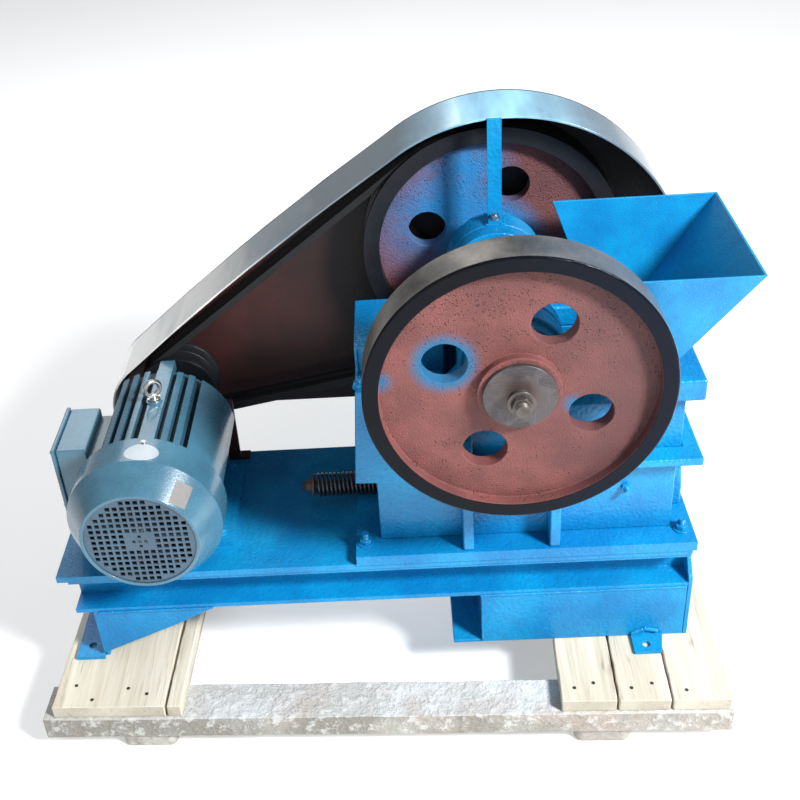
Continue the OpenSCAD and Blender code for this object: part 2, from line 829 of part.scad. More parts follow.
module belt_pulley() {
    color(primer) at_shaft() difference() {
        turned_y() polygon(concat([[shaft_r + seat_gap, wheel_y], [hub_r, wheel_y],
            [hub_r, web_out - web_t], [pulley_rim_r, web_out - web_t],
            [pulley_rim_r, wheel_y], [wheel_r, wheel_y]],
            groove_points(wheel_r, belt_y - belt_pitch / 2),
            groove_points(wheel_r, belt_y + belt_pitch / 2),
            [[wheel_r, wheel_y + wheel_w], [pulley_rim_r, wheel_y + wheel_w],
            [pulley_rim_r, web_out], [hub_r, web_out], [hub_r, hub_end],
            [shaft_r + seat_gap, hub_end]]));
        web_holes(pulley_hole_angle, wheel_y, hub_end);
    }
}

// ---- jaws ----------------------------------------------------------------

module fixed_jaw_plate() {
    color(dark) machine() block([fixed_face_x, end_inner_x],
        [-inner_y + 2, inner_y - 2], [jaw_bottom_z, jaw_top_z]);
}

module swing_jaw_plate() {
    color(dark) machine() slab_y(-swing_y, swing_y)
        polygon([[swing_top_x, jaw_top_z], [swing_bottom_x, jaw_bottom_z],
            [swing_bottom_x + jaw_back[0], jaw_bottom_z + jaw_back[1]],
            [swing_top_x + jaw_back[0], jaw_top_z + jaw_back[1]]]);
}

module swing_jaw() {
    top = [swing_top_x + jaw_back[0], jaw_top_z + jaw_back[1]];
    low = [swing_bottom_x + jaw_back[0], jaw_bottom_z + jaw_back[1]];
    color(paint) difference() {
        union() {
            at_shaft() bar_y(barrel_r, -swing_y, swing_y);
            machine() slab_y(-swing_y, swing_y)
                polygon([[shaft_x + barrel_r - 2, shaft_z], top, low,
                    [low[0] - 8, jaw_foot_z], [swing_rear_x, jaw_foot_z],
                    [swing_rear_x, toggle_z + toggle_t + 12],
                    [shaft_x - barrel_r + 14, shaft_z - 34]]);
        }
        at_shaft() bar_y(eccentric_r + throw + touch_gap, -inner_y, inner_y);
    }
}

module toggle_plate() {
    color(dark) machine() block([seat_x1, swing_rear_x], [-swing_y + 8, swing_y - 8],
        [toggle_z, toggle_z + toggle_t]);
}

module toggle_seat() {
    color(paint) machine() block([seat_x0, seat_x1], [-inner_y, inner_y],
        [toggle_z - 4, toggle_z + toggle_t + 40]);
}

// ---- tension rod ---------------------------------------------------------

module at_rod() { machine() translate([0, 0, rod_z]) rotate([0, 90, 0]) children(); }

module spring_seat() {
    color(paint) difference() {
        machine() block([spring_seat_x, spring_seat_x + spring_seat_t],
            [-inner_y, inner_y], [foot_t, toggle_z - 4]);
        at_rod() translate([0, 0, spring_seat_x - 1])
            cylinder(r = rod_r + bolt_gap, h = spring_seat_t + 2, $fn = 48);
    }
}

module tension_rod() {
    washer_x = spring_x0 - washer_t;
    nut_x = washer_x - rod_nut_l;
    color("sienna") at_rod() {
        translate([0, 0, nut_x - rod_tail])
            cylinder(r = rod_r, h = swing_rear_x - nut_x + rod_tail, $fn = 32);
        translate([0, 0, washer_x]) cylinder(r = spring_r, h = washer_t, $fn = 48);
        translate([0, 0, nut_x]) hex(hex_grow * rod_r, rod_nut_l);
    }
}

// Rings of the spring's wire, six points each, along a helix
spring_steps = 14;
spring_sides = 6;
spring_mid_r = spring_r - spring_wire_r;
spring_pitch = (spring_l - 2 * spring_wire_r) / spring_turns;
spring_count = spring_turns * spring_steps;
function spring_ring(k) = [for (j = [0:spring_sides - 1]) let (
        turn = 360 * k / spring_steps,
        side = 360 * j / spring_sides,
        r = spring_mid_r + spring_wire_r * cos(side))
    [r * cos(turn), r * sin(turn),
        spring_wire_r + spring_pitch * k / spring_steps + spring_wire_r * sin(side)]];

module tension_spring() {
    points = [for (k = [0:spring_count]) each spring_ring(k)];
    last = spring_count * spring_sides;
    skin = [for (k = [0:spring_count - 1]) for (j = [0:spring_sides - 1]) let (
            a = k * spring_sides + j,
            b = k * spring_sides + (j + 1) % spring_sides)
        each [[a, a + spring_sides, b], [b, a + spring_sides, b + spring_sides]]];
    caps = [[for (j = [0:spring_sides - 1]) j],
        [for (j = [spring_sides - 1:-1:0]) last + j]];
    color(steel) at_rod() translate([0, 0, spring_x0]) polyhedron(points, concat(skin, caps));
}

// ---- hopper --------------------------------------------------------------

// A flared block, drawn in by t on its closed sides; its left end lies grow further out
module hopper_block(t, grow) {
    z0 = frame_h;
    z1 = frame_h + hopper_h;
    intersection() {
        slab_y(-hopper_top_y, hopper_top_y)
            polygon([[shaft_x + hopper_bottom_dx[0] - grow, z0],
                [shaft_x + hopper_bottom_dx[1] - t, z0],
                [shaft_x + hopper_top_dx[1] - t, z1],
                [shaft_x + hopper_top_dx[0] - grow, z1]]);
        slab_x(0, base_l)
            polygon([[-hopper_bottom_y + t, z0], [hopper_bottom_y - t, z0],
                [hopper_top_y - t, z1], [-hopper_top_y + t, z1]]);
    }
}

module hopper() {
    color(paint) machine() difference() {
        hopper_block(0, 0);
        hopper_block(hopper_t, 10);
    }
}

// ---- motor ---------------------------------------------------------------

// Slices of the ring between the stator and the fin tips
module fin_slice(x, z) {
    intersection() {
        bar_y(fin_r, motor_y[0], motor_y[1] - fin_stop);
        block(x, motor_y, z);
    }
}

module motor_frame() {
    color(motor_grey) at_motor() difference() {
        union() {
            bar_y(stator_r, motor_y[0], motor_y[1]);
            for (x = concat(left_fins, right_fins)) {
                fin_slice([x - fin_t / 2, x + fin_t / 2], [0, fin_r]);
                fin_slice([x - fin_t / 2, x + fin_t / 2], [-fin_r, 0]);
            }
            fin_slice(centre_pad, [0, fin_r]);
            block(centre_pad, [0, motor_y[1] + pad_reach], [stator_r - 3, fin_r - 2]);
            fin_slice([side_pad[0], side_pad[1]], [side_pad[2], side_pad[3]]);
            block([terminal_x1, 0], [-terminal_pad_y, terminal_pad_y],
                [-terminal_pad_h, terminal_pad_h]);
            translate([eyebolt_x, eyebolt_y, 0])
                cylinder(r = eye_boss_r, h = eye_boss_top, $fn = 48);
            for (side = [-1, 1]) scale([side, 1, 1]) {
                block(motor_foot_x, motor_foot_y, [-motor_z, motor_foot_t - motor_z]);
                block([motor_foot_x[0], motor_foot_x[0] + motor_foot_web], motor_foot_y,
                    [-motor_z, motor_foot_web_top - motor_z]);
            }
        }
        bar_y(motor_shaft_r + 1, motor_y[0] - 1, motor_y[1] + 20);
        translate([-motor_x, 0, -motor_z]) motor_bolt_places() translate([0, 0, -1])
            cylinder(r = motor_bolt_r + bolt_gap, h = motor_foot_t + 2, $fn = 48);
    }
}

module motor_front_shield() {
    color(motor_grey) at_motor() difference() {
        bar_y(cowl_r - cowl_t - touch_gap, motor_y[0] - shield_lap, motor_y[0]);
        bar_y(motor_shaft_r + running_gap, motor_y[0] - shield_lap - 1, motor_y[0] + 1);
    }
}

module motor_drive_shield() {
    y0 = motor_y[1];
    y1 = motor_y[2];
    color(motor_grey) at_motor() turned_y()
        polygon([[motor_shaft_r + running_gap, y0], [shield_r, y0],
            [shield_r, y0 + 14], [shield_r - 14, y0 + 24], [48, y1 - 14], [40, y1],
            [motor_shaft_r + running_gap, y1]]);
}

module motor_cowl() {
    lip = cowl_front_r;
    taper = cowl_y0 + cowl_taper_l;
    color(motor_grey) at_motor() turned_y()
        polygon([[grille_open_r, cowl_y0], [lip, cowl_y0], [cowl_r, taper],
            [cowl_r, motor_y[0]], [cowl_r - cowl_t, motor_y[0]],
            [cowl_r - cowl_t, taper + 1], [lip - cowl_t + 1, cowl_y0 + cowl_t],
            [grille_open_r, cowl_y0 + cowl_t]]);
}

// The grille's square holes, with a solid square left in the middle
module grille_holes() {
    reach = ceil(grille_open_r / grille_pitch);
    for (i = [-reach:reach]) for (j = [-reach:reach]) {
        place = [(i + 0.5) * grille_pitch, j * grille_pitch];
        clear = norm(place) + grille_hole * 0.75 < grille_open_r - 1;
        middle = max(abs(place[0]), abs(place[1])) < 2 * grille_pitch;
        if (clear && !middle) translate(place) square(grille_hole, center = true);
    }
}

module motor_grille() {
    y = cowl_y0 + cowl_t;
    color(motor_grey) at_motor() slab_y(y, y + cowl_t) difference() {
        circle(r = grille_open_r + 3, $fn = round_fn);
        grille_holes();
    }
}

module motor_fan() {
    color(dark) at_motor() difference() {
        union() {
            bar_y(motor_shaft_r + 8, fan_y[0], fan_y[1]);
            bar_y(fan_r, fan_y[1] - 3, fan_y[1]);
            for (k = [0:fan_blades - 1]) rotate([0, 360 * k / fan_blades, 0])
                block([motor_shaft_r + 4, fan_r - 6], [fan_y[0], fan_y[1] - 1], [-1.5, 1.5]);
        }
        bar_y(motor_shaft_r + seat_gap, fan_y[0] - 1, fan_y[1] + 1);
    }
}

module at_terminal() { at_motor() translate([terminal_x1, 0, terminal_z - motor_z]) children(); }

module motor_terminal_box() {
    w = terminal_size[0] / 2 - 2;
    h = terminal_size[1] / 2 - 2;
    color(motor_grey) at_terminal() block([terminal_lid_t - terminal_size[2], 0], [-w, w], [-h, h]);
}

module motor_terminal_lid() {
    w = terminal_size[0] / 2;
    h = terminal_size[1] / 2;
    color(motor_grey) at_terminal()
        block([-terminal_size[2], terminal_lid_t - terminal_size[2]], [-w, w], [-h, h]);
}

module motor_eyebolt() {
    collar_h = 4;
    ring_z = collar_h + eye_ring_r + eye_wire_r;
    color(steel) at_motor() translate([eyebolt_x, eyebolt_y, eye_boss_top]) {
        cylinder(r = eye_boss_r - 2, h = collar_h, $fn = 32);
        cylinder(r = collar_h, h = 2 * collar_h, $fn = 32);
        translate([0, 0, ring_z]) rotate([0, 0, eyebolt_turn]) rotate([90, 0, 0])
            rotate_extrude($fn = 48) translate([eye_ring_r, 0]) circle(r = eye_wire_r, $fn = 24);
    }
}

module motor_foot_bolts() {
    color(steel) machine() motor_bolt_places() translate([0, 0, motor_foot_t])
        through_bolt(motor_bolt_r, motor_foot_t + plate_t);
}

module motor_shaft() { color(steel) at_motor() bar_y(motor_shaft_r, fan_y[0], motor_end_y); }

module motor_pulley() {
    color(dark) at_motor() turned_y() polygon(concat(
        [[motor_shaft_r + seat_gap, wheel_y], [motor_pulley_r, wheel_y]],
        groove_points(motor_pulley_r, belt_y - belt_pitch / 2),
        groove_points(motor_pulley_r, belt_y + belt_pitch / 2),
        [[motor_pulley_r, motor_end_y], [motor_shaft_r + seat_gap, motor_end_y]]));
}

// ---- belts ---------------------------------------------------------------

// A belt's section: radius from the outer face, and width
module belt_section() {
    low = belt_w / 2 - belt_h * tan(belt_angle);
    polygon([[0, -belt_w / 2], [0, belt_w / 2], [-belt_h, low], [-belt_h, -low]]);
}

// One belt with the motor's pulley at the origin and the other along X
module belt_loop() {
    lean = 90 + belt_lean;
    translate([drive_d, 0, 0]) rotate([0, 0, -lean])
        rotate_extrude(angle = 2 * lean, $fn = round_fn) translate([wheel_r, 0]) belt_section();
    rotate([0, 0, lean]) rotate_extrude(angle = 360 - 2 * lean, $fn = round_fn)
        translate([motor_pulley_r, 0]) belt_section();
    both_sides() rotate([0, 0, lean]) translate([motor_pulley_r, belt_lap, 0])
        rotate([90, 0, 0]) linear_extrude(belt_run + 2 * belt_lap) belt_section();
}

module v_belts() {
    color("black") at_motor() for (side = [-1, 1])
        translate([0, belt_y + side * belt_pitch / 2, 0]) rotate([90, 0, 0])
            rotate([0, 0, drive_angle]) belt_loop();
}

// ---- belt guard ----------------------------------------------------------

// The guard's filled outline from y0 to y1, drawn in by t
module guard_fill(t, y0, y1) {
    normal = [cos(guard_normal), sin(guard_normal)];
    small_top = guard_small + (guard_small_r - t) * normal;
    big_top = guard_big + (guard_big_r - t) * normal;
    bow_mid = guard_small + (guard_small_r + guard_bow - guard_bow_r) * normal
        + (guard_big - guard_small + (guard_big_r - guard_small_r) * normal) / 2;
    outside = 1.2 * guard_big_r * normal;
    floor_x = guard_small[0] + 0.6 * guard_small_r;
    floor_z = guard_big[1] - guard_big_r + t;
    at_xz(guard_small) bar_y(guard_small_r - t, y0, y1);
    at_xz(guard_big) bar_y(guard_big_r - t, y0, y1);
    slab_y(y0, y1) polygon([small_top, big_top, guard_big, [guard_big[0], floor_z],
        [floor_x, floor_z], guard_small]);
    intersection() {
        at_xz(bow_mid) bar_y(guard_bow_r - t, y0, y1);
        slab_y(y0, y1) polygon([guard_small, guard_big, guard_big + outside,
            guard_small + outside]);
    }
}

module at_xz(place) { translate([place[0], 0, place[1]]) children(); }

// Where the guard's front edge is cut back to clear the crusher's back ribs
module guard_notch() {
    block([shaft_x - housing_r - 20, shaft_x + guard_big_r + 40],
        [guard_y - 1, guard_notch_y], [0, flange_z]);
}

module guard_band() {
    y1 = guard_y + guard_d - guard_t;
    color(paint) machine() difference() {
        guard_fill(0, guard_y, y1);
        guard_fill(guard_t, guard_y - 1, y1 + 1);
        guard_notch();
        block([-base_l, base_l], [guard_y - 1, y1 + 1], [-base_l, guard_open_z]);
    }
}

module guard_back() {
    color(primer) machine() guard_fill(0, guard_y + guard_d - guard_t, guard_y + guard_d);
}

module guard_strut() {
    top = guard_big[1] + sqrt(pow(guard_big_r, 2) - pow(guard_big[0] - shaft_x + strut_w / 2, 2));
    y = [guard_y - strut_t, guard_y];
    color(paint) machine() translate([shaft_x, 0, 0]) {
        block([-strut_w / 2, strut_w / 2], y, [pad_top, top]);
        block([-strut_w / 2, strut_w / 2], [outer_y, guard_y], [pad_top, pad_top + strut_t]);
        translate([0, (outer_y + guard_y - strut_t) / 2, pad_top + strut_t]) hex(6, 5);
    }
}

module guard_leg() {
    x = [leg_x1 - guard_leg_w, leg_x1];
    toe = [14, 12];
    top = guard_small[1] + 15;
    color(primer) machine() {
        block(x, [guard_y - strut_t, guard_y], [0, top]);
        block([x[0], x[1] + toe[0]], [guard_y - strut_t, guard_y + toe[1]], [0, strut_t]);
    }
}

pallet_left_bearer();
pallet_right_bearer();
pallet_front_runner();
pallet_back_runner();
pallet_left_boards();
pallet_right_boards();
base_plate();
base_front_channel();
base_back_channel();
left_leg();
left_gussets();
support_box();
support_end_plate();
anchor_lugs();
crusher_foot();
front_wall();
back_wall();
end_wall();
rear_wall();
front_ribs();
back_ribs();
end_ribs();
middle_shelf();
top_flange();
rear_cover();
foot_bolts();
front_bearing();
back_bearing();
eccentric_shaft();
flywheel();
flywheel_end_plate();
shaft_end_bolt();
belt_pulley();
fixed_jaw_plate();
swing_jaw();
swing_jaw_plate();
toggle_plate();
toggle_seat();
spring_seat();
tension_rod();
tension_spring();
hopper();
motor_frame();
motor_front_shield();
motor_drive_shield();
motor_cowl();
motor_grille();
motor_fan();
motor_terminal_box();
motor_terminal_lid();
motor_eyebolt();
motor_foot_bolts();
motor_shaft();
motor_pulley();
v_belts();
guard_band();
guard_back();
guard_strut();
guard_leg();
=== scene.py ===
# %% [markdown]
# # A laboratory jaw crusher on its pallet
#
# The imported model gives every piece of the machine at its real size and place. This
# lesson dresses those pieces: it rounds their edges, adds the welds, bolts and nails that
# a workshop adds, and gives each one a finish made of shader nodes. Nothing here moves a
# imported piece. A piece that needs a better shape is copied, and the copy stands for it.

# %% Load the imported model
import math
import random

import bpy
from mathutils import Matrix, Vector


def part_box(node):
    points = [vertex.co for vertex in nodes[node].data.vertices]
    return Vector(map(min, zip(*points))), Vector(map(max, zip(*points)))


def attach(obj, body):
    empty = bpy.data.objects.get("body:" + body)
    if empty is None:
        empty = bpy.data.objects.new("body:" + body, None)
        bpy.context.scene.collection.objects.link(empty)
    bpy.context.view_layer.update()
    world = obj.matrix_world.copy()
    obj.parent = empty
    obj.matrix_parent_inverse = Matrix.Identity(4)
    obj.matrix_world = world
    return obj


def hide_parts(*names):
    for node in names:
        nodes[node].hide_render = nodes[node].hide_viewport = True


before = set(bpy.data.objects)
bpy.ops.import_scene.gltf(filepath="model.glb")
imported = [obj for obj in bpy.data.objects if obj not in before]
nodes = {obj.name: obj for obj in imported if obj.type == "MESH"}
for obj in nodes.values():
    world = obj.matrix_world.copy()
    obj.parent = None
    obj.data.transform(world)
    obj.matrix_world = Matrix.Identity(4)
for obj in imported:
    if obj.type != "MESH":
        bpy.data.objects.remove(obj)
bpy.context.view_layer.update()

MM = 0.001
print("packed pieces:", len(nodes))

# %% [markdown]
# ## The camera
#
# The camera stands in front of the flywheel, higher than the machine and looking down at
# it. A camera can be aimed with a Track To constraint, but that keeps it level. This one
# also rolls a little, so its turn, tilt and roll are three angles in radians, from which the
# script works out the directions that the camera's own axes point in.

# %% Camera
camera_place = Vector((0.0595, -1.2510, 1.3422))
camera_turn, camera_tilt, camera_roll = -0.042, 0.564, -0.075

forward = Vector((math.sin(camera_turn) * math.cos(camera_tilt),
                  math.cos(camera_turn) * math.cos(camera_tilt),
                  -math.sin(camera_tilt)))
level = Vector((math.cos(camera_turn), -math.sin(camera_turn), 0))
upward = level.cross(forward)
right = math.cos(camera_roll) * level + math.sin(camera_roll) * upward
top = math.cos(camera_roll) * upward - math.sin(camera_roll) * level

lens = bpy.data.cameras.new("camera")
lens.lens = 50
lens.shift_x, lens.shift_y = 0.0367, -0.0864
camera = bpy.data.objects.new("camera", lens)
camera.matrix_world = Matrix((right, top, -forward)).transposed().to_4x4()
camera.location = camera_place
bpy.context.scene.collection.objects.link(camera)
bpy.context.scene.camera = camera
bpy.context.scene.view_settings.view_transform = "Standard"
print("camera looks along", [round(c, 3) for c in forward])

# %% [markdown]
# ## Floor and light
#
# A machine shown in a studio needs a floor that catches its shadow, one main light that
# gives the shapes their own shadows, and weaker light from everywhere else, so that no side
# is black. A point or sun lamp would cut hard shadows, so the lights are square areas, like
# the cloth boxes of a studio. The main one stands high on the right, before the machine.

# %% Floor and light
FLOOR_SIZE = 12
WORLD_LIGHT = 0.40
LIGHT_TARGET = Vector((0, 0, 0.35))


def soft_box(name, place, size, power):
    """A square area light, its size in metres and its power in watts, that faces the machine."""
    light = bpy.data.lights.new(name, "AREA")
    light.shape = "SQUARE"
    light.size = size
    light.energy = power
    lamp = bpy.data.objects.new(name, light)
    lamp.rotation_mode = "QUATERNION"
    lamp.location = place
    lamp.rotation_quaternion = (LIGHT_TARGET - place).to_track_quat("-Z", "Y")
    bpy.context.scene.collection.objects.link(lamp)


bpy.ops.mesh.primitive_plane_add(size=FLOOR_SIZE, location=(0, 0, 0))
floor = bpy.context.object
floor.name = "floor"

world = bpy.data.worlds.new("studio")
bpy.context.scene.world = world
world.use_nodes = True
world.node_tree.nodes["Background"].inputs["Color"].default_value = (0.93, 0.96, 1.0, 1)
world.node_tree.nodes["Background"].inputs["Strength"].default_value = WORLD_LIGHT

soft_box("key_light", Vector((2.1, -1.7, 2.5)), 0.6, 235)
soft_box("front_light", Vector((-1.0, -2.8, 1.6)), 1.8, 9)
soft_box("back_light", Vector((-0.8, 2.2, 2.4)), 1.6, 24)
print("lights:", len(bpy.data.lights))

# %% [markdown]
# ## Shader maths as Python
#
# A finish is a small network of nodes. It can be wired by hand in the shader editor, but in
# a script each link takes a line. A `Value` wraps one socket, and Python's own operators on
# it add Math nodes, so that a mask reads as the sum that it is: `1 - a * b`.


# %% Values
class Value:
    """A socket of a finish. Arithmetic on it adds Math nodes."""

    def __init__(self, finish, socket):
        self.finish = finish
        self.socket = socket

    def math(self, operation, *terms):
        sockets = dict(enumerate(terms))
        return self.finish.node("Math", {"operation": operation}, sockets)

    def __add__(self, other):
        return self.math("ADD", self, other)

    def __sub__(self, other):
        return self.math("SUBTRACT", self, other)

    def __rsub__(self, other):
        return self.math("SUBTRACT", other, self)

    def __mul__(self, other):
        return self.math("MULTIPLY", self, other)

    __radd__ = __add__
    __rmul__ = __mul__

    def over(self, low, high):
        """0 below low and 1 above high, with a smooth step between; high may be the lower."""
        sockets = {"Value": self, "From Min": low, "From Max": high}
        return self.finish.node("MapRange", {"interpolation_type": "SMOOTHSTEP"}, sockets)


print("a value adds Math nodes for +, - and *, and a smooth step")

# %% [markdown]
# ## A material in a few lines
#
# A `Finish` is one material. Its method `node` adds any node at all: the settings are set
# first, and then each socket gets a number, a colour or a link. The other methods are short
# names for the nodes that every finish needs: noise, scattered cells, a mix of two colours,
# a bump. All of them start from Object coordinates, which are real metres here, so that a
# pattern has the same size on every piece.


# %% Finishes
class Finish:
    """A material whose nodes are added one line at a time."""

    def __init__(self, name):
        self.material = bpy.data.materials.new(name)
        self.material.use_nodes = True
        self.tree = self.material.node_tree
        self.shader = self.tree.nodes["Principled BSDF"]
        self.place = self.node("TexCoord", output="Object")

    def feed(self, socket, value):
        """Links a value to a socket, or sets the socket to a number or a colour."""
        if isinstance(value, Value):
            self.tree.links.new(value.socket, socket)
        elif isinstance(value, tuple) and len(value) == 3 and socket.type == "RGBA":
            socket.default_value = (*value, 1)
        else:
            socket.default_value = value

    def node(self, kind, settings=None, sockets=None, output=0):
        """Adds a node: its settings are set first, then its sockets get values or links."""
        made = self.tree.nodes.new("ShaderNode" + kind)
        for name, value in (settings or {}).items():
            if name == "stops":
                ramp = made.color_ramp.elements
                while len(ramp) < len(value):
                    ramp.new(0.5)
                for stop, (position, colour) in zip(ramp, value):
                    stop.position = position
                    stop.color = (*colour, 1)
            else:
                setattr(made, name, value)
        for key, value in (sockets or {}).items():
            self.feed(made.inputs[key], value)
        return Value(self, made.outputs[output])

    def stretched(self, scale):
        """The piece's own coordinates, each axis times its scale."""
        return self.node("Mapping", None, {"Vector": self.place, "Scale": scale})

    def noise(self, scale, detail, roughness=0.5, distortion=0.0, place=None):
        """Soft noise; scale is how many blotches fit in a metre."""
        sockets = {"Vector": place or self.place, "Scale": scale, "Detail": detail,
                   "Roughness": roughness, "Distortion": distortion}
        return self.node("TexNoise", None, sockets)

    def cells(self, scale, place=None, feature="F1"):
        """The distance to the nearest of many scattered points."""
        sockets = {"Vector": place or self.place, "Scale": scale}
        return self.node("TexVoronoi", {"feature": feature}, sockets, output="Distance")

    def axis(self, name, place=None):
        """One of X, Y and Z of a vector, by default of the place on the piece."""
        return self.node("SeparateXYZ", None, {0: place or self.place}, output=name)

    def near(self, point, inner, outer):
        """1 within inner metres of a point, falling to 0 at outer metres."""
        settings = {"operation": "DISTANCE"}
        away = self.node("VectorMath", settings, {0: self.place, 1: tuple(point)},
                         output="Value")
        return away.over(outer, inner)

    def mix(self, share, first, second):
        """A colour between two, by share."""
        settings = {"data_type": "RGBA"}
        sockets = {"Factor": share, 6: first, 7: second}
        return self.node("Mix", settings, sockets, output=2)

    def bump(self, height, distance, strength):
        """A normal that looks as if the surface rose by distance metres where height is 1."""
        sockets = {"Height": height, "Distance": distance, "Strength": strength}
        return self.node("Bump", None, sockets)

    def wear(self, **sockets):
        """Feeds the shader's sockets and returns the material."""
        for name, value in sockets.items():
            label = name.replace("_", " ").title().replace("Ior", "IOR")
            self.feed(self.shader.inputs[label], value)
        return self.material


print("short names for nodes: stretched, noise, cells, axis, near, mix, bump")

# %% [markdown]
# ## Floor finish
#
# The floor is a plain pale sheet. One colour would look like cut paper, so a slow noise
# drifts between two that are close together. A little emission of the same colour keeps the
# far floor bright without another lamp, which would also light the machine.

# %% Floor finish
pale = Finish("floor_finish")
cloud = pale.noise(1.5, 3)
pale_colour = pale.mix(cloud, (0.80, 0.80, 0.80), (0.86, 0.86, 0.85))
floor.data.materials.append(pale.wear(base_color=pale_colour, roughness=0.6,
                                      emission_color=pale_colour, emission_strength=0.4))
print("floor finish:", pale.material.name, "with", len(pale.tree.nodes), "nodes")

# %% [markdown]
# ## Blue machine paint
#
# The frame is sprayed with a bright blue gloss over rough plate and castings. The paint
# pulls into shallow dimples a few millimetres wide, and its colour drifts slightly where the
# coat is thin. Dust settles in patches. Small bright specks are painted into the colour as
# painted glints of light on the gloss, and the bump raises them a little too. A picture of
# paint would repeat and stretch over so many shapes, so scattered cells make the dimples,
# noise makes the drift, and one function makes a coarse paint for castings and a fine one for
# sheet.


# %% Blue paint
def blue_paint(name, dimple=0.0060, depth=0.0009, gloss=0.26, dust=0.05):
    """Sprayed blue gloss; dimple is how wide the hammered marks are, in metres."""
    paint = Finish(name)
    drift = paint.noise(9, 3, 0.6)
    fine = paint.noise(130, 4, 0.6)
    colour = paint.mix(drift.over(0.3, 0.75), (0.002, 0.160, 0.40), (0.003, 0.265, 0.54))
    colour = paint.mix(fine.over(0.45, 0.75) * 0.35, colour, (0.006, 0.13, 0.31))
    dusty = paint.noise(5, 5, 0.65).over(0.52, 0.75) * dust
    colour = paint.mix(dusty, colour, (0.20, 0.38, 0.52))
    dimples = paint.cells(1 / dimple).over(0.0, 0.75)
    grain = paint.noise(1 / dimple * 2.2, 3, 0.6)
    height = dimples * 0.7 + grain * 0.9
    # painted highlight: small light cyan specks in the colour stand in for glints on the gloss
    speck = paint.cells(210).over(0.16, 0.05) * paint.noise(24, 3).over(0.48, 0.6)
    colour = paint.mix(speck * 0.6, colour, (0.10, 0.50, 0.85))
    normal = paint.bump(height + speck * 0.8, depth, 0.6)
    return paint.wear(base_color=colour, roughness=fine * 0.18 + (gloss - 0.06),
                      normal=normal, specular_ior_level=0.3, coat_weight=0.1,
                      coat_roughness=0.08)


frame_blue = blue_paint("frame_blue")
sheet_blue = blue_paint("sheet_blue", 0.0022, 0.0004, 0.34, 0.04)
print("blue paints made")

# %% [markdown]
# ## Primer on a casting
#
# The wheels are castings, and their webs keep the grain of the sand mould under a red
# primer. The grain could be sculpted, but grains of a millimetre would need millions of
# faces, so noise makes them as a bump, with a few pits where the sand broke away. When the
# frame was sprayed, some of its blue drifted on to the wheels. Each smudge of it is a soft
# ball round a point, which is easier to place than a painted mask.


# %% Primer on a casting
def sprayed_primer(name, spray, blue):
    """Red primer over sand grain; spray holds a smudge's (point, inner, outer), in metres."""
    light, dark = (0.200, 0.060, 0.054), (0.120, 0.036, 0.034)
    cast = Finish(name)
    grain = cast.noise(480, 3, 0.7)
    blotch = cast.noise(16, 3, 0.55)
    rough = cast.axis("Z").over(0.58, 0.70) * 0.12
    pits_with_painted_shade = cast.cells(250).over(0.30, 0.05) * (cast.noise(55, 2) + rough).over(0.52, 0.62)
    colour = cast.mix(blotch.over(0.3, 0.75), dark, light)
    colour = cast.mix(grain.over(0.52, 0.8) * 0.4, colour, tuple(c * 1.45 for c in light))
    colour = cast.mix(grain.over(0.46, 0.2) * 0.55, colour, tuple(c * 0.5 for c in dark))
    # painted shade: the pits, which the bump sinks, are also coloured near black for the shade in
    # them
    colour = cast.mix(pits_with_painted_shade * 0.85, colour, tuple(c * 0.15 for c in dark))
    normal = cast.bump(grain + blotch * 0.5 - pits_with_painted_shade * 1.6, 0.0026, 0.8)
    cloud = cast.noise(60, 4, 0.7).over(0.12, 0.5)
    # painted shade: the web turns darker towards +X, where the rim shades it
    painted_shade_right = cast.axis("X").over(0.17, 0.32) * 0.55
    colour = cast.mix(painted_shade_right, colour, (0.060, 0.026, 0.031))
    for point, inner, outer in spray:
        colour = cast.mix(cast.near(point, inner, outer) * cloud, colour, blue)
    return cast.wear(base_color=colour, roughness=grain * 0.2 + 0.5, normal=normal)


red_web = sprayed_primer("red_web", [
    ((0.0964, -0.192, 0.6211), 0.026, 0.047),    # round the left hole
    ((0.021, -0.192, 0.600), 0.002, 0.020),      # where the web meets the rim
    ((0.246, -0.192, 0.556), 0.0, 0.018),        # right of the end plate
    ((0.0964, -0.185, 0.6211), 0.027, 0.034)],   # in the mouth of the left hole
    (0.006, 0.12, 0.26))
sprayed_web = sprayed_primer("sprayed_web", [
    ((0.128, 0.171, 0.635), 0.015, 0.085),       # upper left of the hub
    ((0.1825, 0.165, 0.581), 0.045, 0.090),      # the hub itself
    ((0.150, 0.171, 0.700), 0.0, 0.085),         # above the hub
    ((0.085, 0.171, 0.62), -0.06, 0.14)],        # a thin mist over the left half
    (0.002, 0.185, 0.46))
print("primers:", red_web.name, sprayed_web.name)

# %% [markdown]
# ## Turned iron
#
# The rims are turned on a lathe, so they show fine lines round the axis. A spin of the mesh
# into hundreds of ridges would give them too, at a great cost in faces. Noise that depends
# only on the distance from the shaft is the same all the way round a ring, which is what a
# lathe tool leaves.

# %% Turned iron
SHAFT = Vector((0.1825, 0, 0.581))


def from_shaft(finish):
    """How far a point is from the shaft's line, in metres."""
    flat = finish.stretched((1, 0, 1))
    settings = {"operation": "DISTANCE"}
    return finish.node("VectorMath", settings, {0: flat, 1: tuple(SHAFT)}, output="Value")


